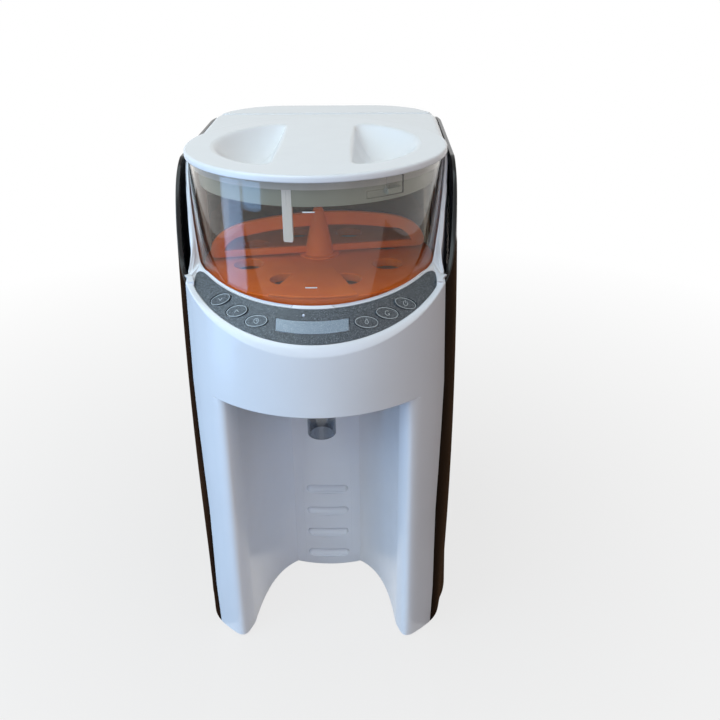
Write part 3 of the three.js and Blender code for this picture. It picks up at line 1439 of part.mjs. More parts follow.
// Tubes from the tank's valve to the pump, on to the heater, and up to the nozzle in the head
function pipes() {
  const heaterPortZ = heaterTopZ + portLength;
  const heaterInX = heaterOffset - heaterPortOffset;
  const heaterOutX = heaterOffset + heaterPortOffset;
  const pumpInY = pumpY + pumpPortOffset;
  const pumpOutY = pumpY - pumpPortOffset;
  const nozzleY = bowlY - nozzleOffset;
  const nozzleZ = gearPlateZ + gearPlateThickness + seatGap + nozzleHeadHeight / 2;
  const nozzleX = nozzleAside + nozzleHeadRadius;
  const inlet = [
    [0, seatPortY, seatPortZ - seatGap],
    [0, seatPortY, seatPortZ - 4 * tubeRadius],
    [-pumpOffset / 2, (seatPortY + pumpY) / 2 + 2 * pumpRadius, seatPortZ - 6 * tubeRadius],
    [-pumpOffset, pumpInY + 2 * tubeRadius, portTopZ + 5 * tubeRadius],
    [-pumpOffset, pumpInY, portTopZ + 2 * tubeRadius],
    [-pumpOffset, pumpInY, portTopZ + seatGap],
  ];
  const feed = [
    [-pumpOffset, pumpOutY, portTopZ + seatGap],
    [-pumpOffset, pumpOutY, portTopZ + 3 * tubeRadius],
    [0, (pumpY + heaterY) / 2 - pumpPortOffset, heaterPortZ + 3 * tubeRadius],
    [heaterInX, heaterY, heaterPortZ + 3 * tubeRadius],
    [heaterInX, heaterY, heaterPortZ + seatGap],
  ];
  const outlet = [
    [heaterOutX, heaterY, heaterPortZ + seatGap],
    [heaterOutX, heaterY, heaterPortZ + 8 * tubeRadius],
    [heaterOutX, bowlY + gearPlateHalfWidth, gearPlateZ - 4 * tubeRadius],
    [gearPlateHalfWidth + 3 * tubeRadius, bowlY, nozzleZ],
    [gearPlateHalfWidth, nozzleY + 2 * tubeRadius, nozzleZ],
    [nozzleX + 2 * tubeRadius, nozzleY, nozzleZ],
    [nozzleX + seatGap, nozzleY, nozzleZ],
  ];
  return Object.entries({ inlet_tube: inlet, pump_tube: feed, outlet_tube: outlet }).map(([name, points]) =>
    mesh(name, pipe(points), "silicone"),
  );
}

const formulaMaker = new THREE.Group();
formulaMaker.add(
  mesh("front_shell", frontShell(), "white"),
  mesh("stand_rack", standRack(), "white"),
  mesh("rear_housing", rearHousing(), "black"),
  mesh("top_deck", topDeck(), "white"),
  mesh("base_plate", basePlate(), "nylon"),
  ...feet(),
  mesh("head_floor", headFloor(), "white"),
  mesh("control_panel", controlPanel(), "slate"),
  mesh("lcd_window", windowLens(), "glass"),
  mesh("display_module", displayModule(), "nylon"),
  mesh("status_led", statusLed(), "led"),
  mesh("key_board_left", keyBoard(-1), "board"),
  mesh("key_board_right", keyBoard(1), "board"),
  ...keys(),
  groupAt(
    0,
    bowlY,
    mesh("cradle_plate", cradlePlate(), "white"),
    mesh("shaft_bushing", shaftBushing(), "acetal"),
    mesh("gear_plate", gearPlate(), "nylon"),
    mesh("powder_container", powderBowl(), "smoke"),
    mesh("wiper_plate", wiperPlate(), "orange"),
    mesh("dosing_wheel", dosingWheel(), "orange"),
    mesh("stirring_wheel", stirringWheel(), "orange"),
    mesh("powder_lid", powderLid(), "white"),
    mesh("lid_seal", lidSeal(), "silicone"),
    mesh("drive_gear", driveGear(), "acetal"),
    mesh("drive_shaft", driveShaft(), "steel"),
  ),
  groupAt(
    0,
    bowlY - outletOffset,
    mesh("powder_chute", powderChute(), "white"),
    mesh("outlet_seal", outletSeal(), "silicone"),
  ),
  groupAt(
    0,
    bowlY + gearCentres,
    mesh("drive_motor", driveMotor(), "steel"),
    mesh("motor_pinion", motorPinion(), "acetal"),
  ),
  groupAt(nozzleAside, bowlY - nozzleOffset, mesh("water_nozzle", waterNozzle(), "steel")),
  groupAt(
    0,
    bowlY - funnelOffset,
    mesh("mixing_funnel", mixingFunnel(), "greyClear"),
    mesh("funnel_cover", funnelCover(), "greyClear"),
    mesh("funnel_rail_left", funnelRail(-1), "nylon"),
    mesh("funnel_rail_right", funnelRail(1), "nylon"),
    mesh("funnel_switch", funnelSwitch(), "nylon"),
  ),
  mesh("water_tank", waterTank(), "smoke"),
  mesh("tank_lid", tankLid(), "white"),
  mesh("valve_seat", valveSeat(), "nylon"),
  groupAt(
    0,
    valveY,
    mesh("valve_plunger", valvePlunger(), "acetal"),
    mesh("valve_guide", valveGuide(), "acetal"),
    mesh("valve_cage", valveCage(), "acetal"),
    mesh("valve_spring", valveSpring(), "steel"),
  ),
  groupAt(-pumpOffset, pumpY, mesh("water_pump", waterPump(), "nylon")),
  groupAt(heaterOffset, heaterY, mesh("water_heater", waterHeater(), "steel")),
  groupAt(boardX, boardY, mesh("power_board", powerBoard(), "board")),
  mesh("cord_gland", cordGland(), "rubber"),
  ...pipes(),
);

export default formulaMaker;
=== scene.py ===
import json
import math

import bmesh
import bpy
from mathutils import Matrix, Vector

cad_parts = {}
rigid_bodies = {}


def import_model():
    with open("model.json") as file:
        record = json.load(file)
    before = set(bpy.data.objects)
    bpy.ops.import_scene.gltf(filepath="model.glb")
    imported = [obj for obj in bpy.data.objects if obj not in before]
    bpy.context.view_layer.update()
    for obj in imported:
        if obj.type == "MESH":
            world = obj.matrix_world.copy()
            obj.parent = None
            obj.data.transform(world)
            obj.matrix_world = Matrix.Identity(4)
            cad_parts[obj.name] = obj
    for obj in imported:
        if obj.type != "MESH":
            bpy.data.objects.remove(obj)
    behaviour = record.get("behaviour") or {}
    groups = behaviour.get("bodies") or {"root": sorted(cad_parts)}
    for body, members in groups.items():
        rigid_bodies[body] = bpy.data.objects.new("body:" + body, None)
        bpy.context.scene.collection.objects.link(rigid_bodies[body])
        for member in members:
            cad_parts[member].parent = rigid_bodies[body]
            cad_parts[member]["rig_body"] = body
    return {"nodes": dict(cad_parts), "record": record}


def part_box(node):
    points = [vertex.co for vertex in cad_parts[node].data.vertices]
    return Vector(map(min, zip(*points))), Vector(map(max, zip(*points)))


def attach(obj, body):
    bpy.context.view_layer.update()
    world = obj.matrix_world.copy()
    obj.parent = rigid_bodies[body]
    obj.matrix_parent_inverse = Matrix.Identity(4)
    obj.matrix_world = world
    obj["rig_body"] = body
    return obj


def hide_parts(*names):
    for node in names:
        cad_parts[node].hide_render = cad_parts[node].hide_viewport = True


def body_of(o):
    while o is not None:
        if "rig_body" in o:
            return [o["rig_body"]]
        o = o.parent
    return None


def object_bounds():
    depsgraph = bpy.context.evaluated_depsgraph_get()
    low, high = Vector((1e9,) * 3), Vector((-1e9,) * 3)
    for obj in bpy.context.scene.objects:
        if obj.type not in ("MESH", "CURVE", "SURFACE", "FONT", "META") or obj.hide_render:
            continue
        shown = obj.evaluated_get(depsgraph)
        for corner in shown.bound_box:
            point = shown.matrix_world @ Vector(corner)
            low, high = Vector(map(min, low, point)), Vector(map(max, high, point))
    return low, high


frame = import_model()
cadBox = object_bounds()
nodes = frame["nodes"]
mm = 0.001
print("frame loaded:", len(nodes), "nodes")


# Colours are written as on a colour card and turned to linear light here
def linear(hexCode):
    channels = [int(hexCode[i:i + 2], 16) / 255 for i in (1, 3, 5)]
    return [c / 12.92 if c <= 0.04045 else ((c + 0.055) / 1.055) ** 2.4 for c in channels] + [1.0]


# Settings go to sockets or properties and stops to a colour ramp; a node that is linked gives its first output
def addNode(tree, kind, settings=None, links=None, stops=()):
    node = tree.nodes.new("ShaderNode" + kind)
    for key, value in (settings or {}).items():
        if key in node.inputs:
            node.inputs[key].default_value = value
        else:
            setattr(node, key, value)
    for key, source in (links or {}).items():
        tree.links.new(getattr(source, "outputs", [source])[0], node.inputs[key])
    if stops:
        elements = node.color_ramp.elements
        elements.remove(elements[-1])
        elements[0].position, elements[0].color = stops[0][0], linear(stops[0][1])
        for position, colour in stops[1:]:
            elements.new(position).color = linear(colour)
    return node


# A material whose nodes are drawn by its finish, from the object's own coordinates
def makeMaterial(name, finish, *values):
    material = bpy.data.materials.new(name)
    material.use_nodes = True
    tree = material.node_tree
    tree.nodes.clear()
    place = addNode(tree, "TexCoord").outputs["Object"]
    addNode(tree, "OutputMaterial", links={"Surface": finish(tree, place, *values)})
    return material


# Gloss ABS, injection-moulded and polished: a faint ripple and a hint of haze where hands have been
whiteAbs = {"roughness": (0.2, 0.27), "hazeSize": 70 * mm, "rippleSize": 9 * mm, "rippleDepth": 0.02 * mm,
            "ior": 1.5}


def glossAbs(tree, place, colour, shade):
    haze = addNode(tree, "TexNoise", {"Scale": 1 / whiteAbs["hazeSize"], "Detail": 3.0}, {"Vector": place})
    tint = addNode(tree, "ValToRGB", links={"Fac": haze}, stops=[(0.3, shade), (0.7, colour)])
    low, high = whiteAbs["roughness"]
    rough = addNode(tree, "MapRange", {"From Min": 0.3, "From Max": 0.7, "To Min": low, "To Max": high},
                    {"Value": haze})
    ripple = addNode(tree, "TexNoise", {"Scale": 1 / whiteAbs["rippleSize"], "Detail": 2.0}, {"Vector": place})
    bump = addNode(tree, "Bump", {"Strength": 0.1, "Distance": whiteAbs["rippleDepth"]}, {"Height": ripple})
    return addNode(tree, "BsdfPrincipled", {"IOR": whiteAbs["ior"]},
                   {"Base Color": tint, "Roughness": rough, "Normal": bump})


# Piano-black ABS: near-mirror gloss with fine wiping marks
blackAbs = {"colour": "#0B0A0B", "dust": "#2A2725", "roughness": (0.15, 0.21), "wipeSize": 40 * mm,
            "wipeShare": 0.12, "dustSize": 1.1 * mm, "ior": 1.5, "specular": 0.3}


def pianoAbs(tree, place):
    stretch = addNode(tree, "Mapping", {"Scale": (1.0, 1.0, blackAbs["wipeShare"])}, {"Vector": place})
    wipes = addNode(tree, "TexNoise", {"Scale": 6 / blackAbs["wipeSize"], "Detail": 6.0}, {"Vector": stretch})
    low, high = blackAbs["roughness"]
    rough = addNode(tree, "MapRange", {"From Min": 0.45, "From Max": 0.8, "To Min": low, "To Max": high},
                    {"Value": wipes})
    specks = addNode(tree, "TexNoise", {"Scale": 1 / blackAbs["dustSize"], "Detail": 2.0}, {"Vector": place})
    tint = addNode(tree, "ValToRGB", links={"Fac": specks},
                   stops=[(0.72, blackAbs["colour"]), (0.8, blackAbs["dust"])])
    return addNode(tree, "BsdfPrincipled",
                   {"IOR": blackAbs["ior"], "Specular IOR Level": blackAbs["specular"]},
                   {"Base Color": tint, "Roughness": rough})


# Clear SAN, tinted in the melt: glassy, darker where seen edge on; lamp rays pass it as a plain tint
san = {"swirlSize": 30 * mm, "spread": 0.03, "ior": 1.45}


def clearSan(tree, place, colour, through, roughness, specular=0.5):
    swirl = addNode(tree, "TexNoise", {"Scale": 1 / san["swirlSize"], "Detail": 3.0}, {"Vector": place})
    rough = addNode(tree, "MapRange", {"To Min": roughness, "To Max": roughness + san["spread"]},
                    {"Value": swirl})
    shader = addNode(tree, "BsdfPrincipled",
                     {"IOR": san["ior"], "Base Color": linear(colour), "Transmission Weight": 1.0,
                      "Specular IOR Level": specular}, {"Roughness": rough})
    clear = addNode(tree, "BsdfTransparent", {"Color": linear(through)})
    path = addNode(tree, "LightPath")
    lampRay = addNode(tree, "Math", {"operation": "MAXIMUM"},
                      {0: path.outputs["Is Shadow Ray"], 1: path.outputs["Is Diffuse Ray"]})
    return addNode(tree, "MixShader", links={"Fac": lampRay, 1: shader, 2: clear})


# Satin moulded plastic with a fine spark texture, for parts that aren't gloss
satin = {"cloudSize": 25 * mm, "sparkSize": 0.8 * mm, "sparkDepth": 0.03 * mm, "spread": 0.06}


def satinFinish(tree, place, colour, shade, roughness, metallic=0.0, specular=0.5):
    cloud = addNode(tree, "TexNoise", {"Scale": 1 / satin["cloudSize"], "Detail": 5.0}, {"Vector": place})
    tint = addNode(tree, "ValToRGB", links={"Fac": cloud}, stops=[(0.35, shade), (0.65, colour)])
    spark = addNode(tree, "TexNoise", {"Scale": 1 / satin["sparkSize"], "Detail": 3.0}, {"Vector": place})
    bump = addNode(tree, "Bump", {"Strength": 0.4, "Distance": satin["sparkDepth"]}, {"Height": spark})
    low, high = roughness - satin["spread"], roughness + satin["spread"]
    rough = addNode(tree, "MapRange", {"To Min": low, "To Max": high}, {"Value": cloud})
    return addNode(tree, "BsdfPrincipled", {"Metallic": metallic, "Specular IOR Level": specular},
                   {"Base Color": tint, "Roughness": rough, "Normal": bump})


# Metallic-fleck film: a dark ground with fine pale grains, drawn a little coarser than the real ones to show
film = {"rise": 0.09, "cloudSize": 20 * mm, "spread": 0.05, "ior": 1.49}


def fleckedFilm(tree, place, colour, fleck, roughness, grain, start):
    grains = addNode(tree, "TexNoise", {"Scale": 1 / grain, "Detail": 2.0}, {"Vector": place})
    tint = addNode(tree, "ValToRGB", links={"Fac": grains},
                   stops=[(0.0, colour), (start, colour), (start + film["rise"], fleck)])
    cloud = addNode(tree, "TexNoise", {"Scale": 1 / film["cloudSize"], "Detail": 4.0}, {"Vector": place})
    low, high = roughness - film["spread"], roughness + film["spread"]
    rough = addNode(tree, "MapRange", {"To Min": low, "To Max": high}, {"Value": cloud})
    return addNode(tree, "BsdfPrincipled", {"IOR": film["ior"]}, {"Base Color": tint, "Roughness": rough})


materials = {slot: makeMaterial(*row) for slot, row in {
    "white_abs": ("whiteAbs", glossAbs, "#EDEEF1", "#E9EAED"),
    # the white lid's skirt in a darker grey-green copy of the same gloss: painted shade under the lid's rim
    "skirt_painted_shade_abs": ("skirtPaintedShadeAbs", glossAbs, "#8D968F", "#868F88"),
    "black_abs": ("blackAbs", pianoAbs),
    "smoke_san": ("smokeSan", clearSan, "#F2EEE7", "#F6F2EC", 0.0, 0.14),
    "grey_san": ("greySan", clearSan, "#959CA4", "#A8AEB5", 0.06),
    "orange_pp": ("orangePolypropylene", satinFinish, "#F27A1E", "#E86C16", 0.42, 0.0, 0.15),
    "slate_panel": ("slateFilm", fleckedFilm, "#2C3237", "#7F8990", 0.42, 0.42 * mm, 0.53),
    "window": ("displayWindow", fleckedFilm, "#8795A0", "#AEB9C1", 0.25, 0.45 * mm, 0.54),
    "indicator": ("indicatorLens", satinFinish, "#E8F0FF", "#DDE6F5", 0.25),
    "key_print": ("keyPrint", satinFinish, "#C9D1D4", "#C2CACD", 0.5),
    "mark_print": ("markPrint", satinFinish, "#F2F2EE", "#ECECE8", 0.5),
    "circuit_board": ("epoxyBoard", satinFinish, "#1F5A3A", "#1A4E32", 0.45),
    "acetal": ("acetal", satinFinish, "#DCDAD2", "#D2D0C8", 0.4),
    "dark_nylon": ("darkNylon", satinFinish, "#2B2D30", "#242629", 0.55, 0.0, 0.3),
    "rubber": ("footRubber", satinFinish, "#1C1C1E", "#161618", 0.8),
    "silicone": ("silicone", satinFinish, "#B9BDC0", "#AFB3B6", 0.5),
    "steel": ("satinSteel", satinFinish, "#A7A9AC", "#9C9EA1", 0.32, 1.0),
}.items()}
nodeSlots = {part["node"]: part["material_slot"] for part in frame["record"]["subparts"]}
for name, slotName in nodeSlots.items():
    nodes[name].data.materials.clear()
    nodes[name].data.materials.append(materials[slotName])
print("materials on the frame's nodes")


def startFresh():
    if bpy.context.object and bpy.context.object.mode != "OBJECT":
        bpy.ops.object.mode_set(mode="OBJECT")
    bpy.ops.object.select_all(action="DESELECT")


def pick(piece):
    startFresh()
    piece.select_set(True)
    bpy.context.view_layer.objects.active = piece


def edit(piece, mode="VERT", selected=True):
    pick(piece)
    bpy.ops.object.mode_set(mode="EDIT")
    bpy.ops.mesh.select_mode(type=mode)
    bpy.ops.mesh.select_all(action="SELECT" if selected else "DESELECT")


def endEdit():
    bpy.ops.object.mode_set(mode="OBJECT")


def faceOutwards():
    bpy.ops.mesh.select_all(action="SELECT")
    bpy.ops.mesh.normals_make_consistent(inside=False)


def mergeNear(piece, reach=0.004 * mm, recalculate=False):
    edit(piece)
    bpy.ops.mesh.remove_doubles(threshold=reach)
    if recalculate:
        faceOutwards()
    endEdit()


# Fills the open ends of a piece and turns its faces outwards
def closeEnds(piece):
    edit(piece, "EDGE", selected=False)
    bpy.ops.mesh.select_non_manifold()
    bpy.ops.mesh.edge_face_add()
    faceOutwards()
    endEdit()


def applyModifier(piece, kind, **settings):
    pick(piece)
    modifier = piece.modifiers.new(kind.lower(), kind)
    for key, value in settings.items():
        setattr(modifier, key, value)
    bpy.ops.object.modifier_apply(modifier=modifier.name)


def combine(piece, other, operation="DIFFERENCE"):
    applyModifier(piece, "BOOLEAN", object=other, operation=operation, solver="EXACT")
    bpy.data.objects.remove(other)


def bevelSharp(piece, width, segments=3):
    applyModifier(piece, "BEVEL", width=width, segments=segments, limit_method="ANGLE",
                  angle_limit=math.radians(50))


def joinPieces(first, *others):
    pick(first)
    for other in others:
        other.select_set(True)
    bpy.ops.object.join()
    return first


# Rounds the edges that turn by more than an angle and whose middle is wanted
def roundEdges(piece, width, wanted, turn=0.6, segments=3):
    edit(piece, "EDGE", selected=False)
    shape = bmesh.from_edit_mesh(piece.data)
    for edge in shape.edges:
        if len(edge.link_faces) == 2 and edge.calc_face_angle(0.0) > turn:
            edge.select_set(wanted((edge.verts[0].co + edge.verts[1].co) / 2))
    bmesh.update_edit_mesh(piece.data)
    bpy.ops.mesh.bevel(offset=width, segments=segments, profile=0.5, affect="EDGES", clamp_overlap=False)
    endEdit()


# A grid whose columns run to the right and rows up, seen from outside, each vertex put in its place
def addSheet(name, columns, rows, placeOf):
    startFresh()
    bpy.ops.mesh.primitive_grid_add(size=1, x_subdivisions=columns - 1, y_subdivisions=rows - 1)
    sheet = bpy.context.object
    sheet.name = name
    for vertex in sheet.data.vertices:
        column = round((vertex.co.x + 0.5) * (columns - 1))
        row = round((vertex.co.y + 0.5) * (rows - 1))
        vertex.co = placeOf(column, row)
    return sheet


# A closed tube of sections, its two ends filled
def addTube(name, sections):
    count = len(sections[0])
    tube = addSheet(name, count + 1, len(sections), lambda column, row: sections[row][column % count])
    mergeNear(tube)
    closeEnds(tube)
    return tube


# Extrudes one vertex along a profile of radii and heights and spins it about an upright axis
def spinProfile(name, profile, centre, segments):
    startFresh()
    bpy.ops.mesh.primitive_plane_add(size=1 * mm)
    piece = bpy.context.object
    piece.name = name
    edit(piece)
    bpy.ops.mesh.merge(type="CENTER")
    bpy.ops.transform.translate(value=(centre[0] + profile[0][0], centre[1], profile[0][1]))
    for start, end in zip(profile, profile[1:]):
        step = (end[0] - start[0], 0.0, end[1] - start[1])
        bpy.ops.mesh.extrude_vertices_move(TRANSFORM_OT_translate={"value": step})
    bpy.ops.mesh.select_all(action="SELECT")
    bpy.ops.mesh.spin(steps=segments, angle=2 * math.pi, center=(centre[0], centre[1], 0.0), axis=(0, 0, 1))
    endEdit()
    mergeNear(piece, recalculate=True)
    return piece


# A rod about an upright axis
def addRod(name, radius, lowZ, highZ, centre, segments=48):
    return spinProfile(name, [(0, lowZ), (radius, lowZ), (radius, highZ), (0, highZ)], centre, segments)


# A filled outline extruded by a depth, each vertex then put in its place
def addPrism(name, outline, depth, placeOf):
    startFresh()
    bpy.ops.mesh.primitive_circle_add(vertices=len(outline), radius=1, fill_type="NGON")
    piece = bpy.context.object
    piece.name = name
    for vertex, point in zip(piece.data.vertices, outline):
        vertex.co = (point[0], point[1], 0.0)
    edit(piece)
    bpy.ops.mesh.extrude_region_move(TRANSFORM_OT_translate={"value": (0.0, 0.0, depth)})
    endEdit()
    for vertex in piece.data.vertices:
        vertex.co = placeOf(*vertex.co)
    mergeNear(piece, recalculate=True)
    return piece


def addUpright(name, outline, lowZ, highZ):
    return addPrism(name, outline, highZ - lowZ, lambda x, y, z: Vector((x, y, z + lowZ)))


def addBlock(name, halfX, fromY, toY, lowZ, highZ):
    return addUpright(name, [(-halfX, fromY), (halfX, fromY), (halfX, toY), (-halfX, toY)], lowZ, highZ)


def steps(start, end, count):
    return [mix(start, end, i / count) for i in range(count + 1)]


def mix(start, end, share):
    return start + (end - start) * share


def smoothStep(share):
    share = min(1.0, max(0.0, share))
    return share * share * (3 - 2 * share)


def curve(start, control, end, count):
    return [start * (1 - t) ** 2 + control * (2 * t * (1 - t)) + end * t ** 2 for t in steps(0, 1, count)]


def polar(radius, degrees, centre=(0.0, 0.0)):
    turn = math.radians(degrees)
    return centre[0] + radius * math.cos(turn), centre[1] + radius * math.sin(turn)


def circlePoints(radius, count=48, centre=(0.0, 0.0)):
    turns = [2 * math.pi * i / count for i in range(count)]
    return [(centre[0] + radius * math.cos(turn), centre[1] + radius * math.sin(turn)) for turn in turns]


# Rounds the corners of a line of points, each with its own radius, within its share of the lines beside it
sharedLine, ownLine = 0.48, 0.98


def filletPath(points, radii, count=3):
    path = [points[0].copy()]
    for i in range(1, len(points) - 1):
        corner, reaches = points[i], []
        for other, k in ((points[i - 1], i - 2), (points[i + 1], i)):
            free = sharedLine if 0 <= k < len(radii) and radii[k] > 0 else ownLine
            reaches.append(min(radii[i - 1], free * (other - corner).length))
        start = corner + (points[i - 1] - corner).normalized() * reaches[0]
        end = corner + (points[i + 1] - corner).normalized() * reaches[1]
        path += curve(start, corner, end, count)
    path.append(points[-1].copy())
    return path


# A turned piece from a profile whose corners are radius, height and rounding
def addTurned(name, corners, centre, segments, count=4):
    points = [Vector((radius, height)) for radius, height, _ in corners]
    profile = [tuple(point) for point in filletPath(points, [corner[2] for corner in corners[1:-1]], count)]
    return spinProfile(name, profile, centre, segments)


# Heights and insets that round an upper edge over
def overEdge(topZ, radius, inset=0.0):
    return [(topZ - radius * (1 - math.sin(turn)), inset + radius * (1 - math.cos(turn)))
            for turn in steps(0, math.pi / 2, 6)]


def camelName(name):
    first, *others = name.split("_")
    return first + "".join(word.capitalize() for word in others)


# Puts a finished piece in the place of its CAD node, with that node's body and material slot
def finishPiece(piece, node, smooth=40, rides=None, finish=None, swollen=False):
    pick(piece)
    bpy.ops.object.transform_apply(location=True, rotation=True, scale=True)
    if swollen:
        for vertex in piece.data.vertices:
            vertex.co.x += math.copysign(swellAt(abs(vertex.co.x), vertex.co.y, vertex.co.z), vertex.co.x)
    piece.name = camelName(node)
    piece.data.name = piece.name
    carrier = rides or node
    slotName = nodeSlots[carrier]
    if finish != "own":
        piece.data.materials.clear()
        piece.data.materials.append(materials[finish or slotName])
    bpy.ops.object.shade_smooth_by_angle(angle=math.radians(smooth))
    applyModifier(piece, "WEIGHTED_NORMAL", keep_sharp=True)
    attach(piece, body_of(nodes[carrier])[0])
    if not rides:
        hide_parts(node)
    print("made", piece.name, len(piece.data.polygons), "faces")


# Body outline: round nose, straight sides, round rear corners, drawn in a little towards the top
body = {"halfWidth": 106 * mm, "taper": 5 * mm, "height": 390 * mm, "lowZ": 2 * mm, "wall": 3 * mm,
        "gap": 0.3 * mm, "rearCorner": 62.01 * mm, "seamShare": 0.4453, "seamLean": 14 * mm, "lipZ": 232 * mm,
        "deckRound": 5 * mm, "merge": 0.01 * mm}
bodyDepth = cadBox[1][1] - cadBox[0][1]
bowlLow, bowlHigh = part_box("powder_container")
bowlY = (bowlLow.y + bowlHigh.y) / 2


def halfWidthAt(z):
    return body["halfWidth"] - body["taper"] * z / body["height"]


noseY = halfWidthAt(body["lipZ"]) - bodyDepth / 2
seamY = noseY - body["halfWidth"] * body["seamShare"]


# The seam between white and black stands upright down to the lip and then leans forward to the foot
def seamYAt(z):
    fall = (body["lipZ"] - z) / (body["lipZ"] - body["lowZ"])
    return seamY - body["seamLean"] * min(1.0, max(0.0, fall))


def sideX(y, z, inset=0.0):
    half = halfWidthAt(z) - inset
    return half if y >= noseY else math.sqrt(half ** 2 - (noseY - y) ** 2)


# The sides swell a little between foot and deck, and square up at the front corners of the foot
swell = {"low": -1.2 * mm, "middle": 4.6 * mm, "rim": 96 * mm, "corner": 5 * mm, "cornerAngle": 58.0,
         "cornerSpread": 11.0, "cornerHeight": 130 * mm, "noseShare": 0.999, "fadeShare": 0.3}


def outerX(y, z):
    corner = body["rearCorner"]
    centreY = bodyDepth / 2 - corner
    if y <= centreY:
        return sideX(y, z) if y > noseY - halfWidthAt(z) else 0.0
    return halfWidthAt(z) - corner + math.sqrt(max(0.0, corner ** 2 - (y - centreY) ** 2))


def swellAt(x, y, z):
    rise = z / body["height"]
    amount = swell["low"] * (1 - rise) + 4 * swell["middle"] * rise * (1 - rise)
    outer, half = outerX(max(y, noseY - halfWidthAt(z) * swell["noseShare"]), z), halfWidthAt(z)
    inner = math.sqrt(max(0.0, swell["rim"] ** 2 - (y - bowlY) ** 2))
    share = min(1.0, max(0.0, (x - inner) / max(outer - inner, 1 * mm)))
    if y < noseY:
        angle = math.degrees(math.acos(min(1.0, (noseY - y) / half)))
        near = math.exp(-((angle - swell["cornerAngle"]) / swell["cornerSpread"]) ** 2)
        corner = swell["corner"] * near * (1 - smoothStep(z / swell["cornerHeight"]))
        amount = amount * (outer / half) ** 2 + corner
    return amount * share * min(1.0, outer / (swell["fadeShare"] * half))


def aboutAxis(axisY, angle, radius, z):
    turn = math.radians(angle)
    return Vector((radius * math.sin(turn), axisY - radius * math.cos(turn), z))


def rising(frontZ, rise, angle):
    return frontZ + rise * (1 - math.cos(math.radians(angle)))


# The line on which both housings sweep up from the panel's ends to the deck
cheek = {"front": -60 * mm, "bend": -28 * mm, "top": 4 * mm, "lowZ": 311 * mm, "highZ": 387 * mm,
         "bendHeight": 7 * mm, "proud": 1.5 * mm, "rear": 22 * mm, "rim": 4 * mm, "rimDepth": 10 * mm,
         "rimRound": 1.8 * mm, "least": 1 * mm, "lip": 0.2 * mm, "lipShare": 0.3, "fadeShare": 0.25,
         "settleShare": 0.15, "roundShare": 0.6, "boreShare": 0.3, "boreWall": 0.8 * mm,
         "firstRound": 0.9 * mm, "sideRise": 0.1 * mm, "edgeShare": 0.75, "fillets": (0.3, 0.4, 0.3),
         "rimSpan": (0.02, 0.98), "rimLeast": 0.05 * mm, "rimOverlap": 0.6 * mm, "rimDrop": 0.02 * mm,
         "rimBend": 0.8}


def cheekZ(y):
    reach = y - bowlY
    if reach <= cheek["front"]:
        return cheek["lowZ"]
    if reach >= cheek["top"]:
        return cheek["highZ"]
    low, high = 0.0, 1.0
    for _ in range(30):
        t = (low + high) / 2
        at = cheek["front"] * (1 - t) ** 3 + 3 * cheek["bend"] * t * (1 - t) + cheek["top"] * t ** 3
        low, high = (t, high) if at < reach else (low, t)
    lower, upper = cheek["lowZ"], cheek["highZ"]
    bend = cheek["bendHeight"]
    return (lower * (1 - t) ** 3 + 3 * (lower + bend) * t * (1 - t) ** 2
            + 3 * (upper - bend) * t ** 2 * (1 - t) + upper * t ** 3)


# White front moulding, drawn as one skin: head wall, bevel, crescent with the panel's recess, rim and bore
shell = {"creaseZ": 279 * mm, "creaseRise": 61 * mm, "panelZ": 286.7 * mm, "panelRise": 44 * mm,
         "rimZ": 307 * mm, "rimRise": 24 * mm, "bevelReach": 4.3 * mm, "bevelTurn": (0.36, 0.62),
         "land": 0.6 * mm, "rim": 95.5 * mm, "bore": 93.3 * mm, "ledgeZ": 296.4 * mm, "ledge": 89.3 * mm,
         "thickness": 2.2 * mm, "recess": 1.3 * mm, "tipAngle": 62.0, "tipSpan": 2.4, "tipSlope": 9.5,
         "seamAngle": 62.35, "mouthAngle": 46.58,
         "fillets": (0.9, 2.2, 0.35, 0.15, 0.1, 0.1, 0.15, 0.35, 0.5, 0.3), "closing": 0.12,
         "lipEdge": 0.7 * mm, "lipNear": 0.05 * mm, "lipBand": 0.4 * mm, "lipEnd": 1 * mm, "tipShare": 0.1}


def crescentFrame(angle, share):
    outerZ = rising(shell["panelZ"], shell["panelRise"], angle)
    outer = aboutAxis(noseY, angle, halfWidthAt(outerZ) - shell["bevelReach"], outerZ)
    inner = aboutAxis(bowlY, angle, shell["rim"], rising(shell["rimZ"], shell["rimRise"], angle))
    slope = inner - outer
    ahead = aboutAxis(0.0, angle, 1.0, 0.0)
    normal = (ahead * slope.z + Vector((0.0, 0.0, math.hypot(slope.x, slope.y)))).normalized()
    return outer + slope * share, normal, slope.length


def crescentPoint(angle, share, lift):
    point, normal, _ = crescentFrame(angle, share)
    return point + normal * lift


# How far the panel reaches down and up across the crescent, closing in a blunt tip at each end
def panelReach(angle):
    reaches = []
    for span in (shell["tipSpan"], shell["tipSlope"]):
        past = max(0.0, abs(angle) - (shell["tipAngle"] - span)) / span
        reaches.append(math.sqrt(1 - min(1.0, past) ** 2) / 2)
    return 0.5 - max(shell["tipShare"], reaches[0]), 0.5 + max(shell["tipShare"], reaches[1])


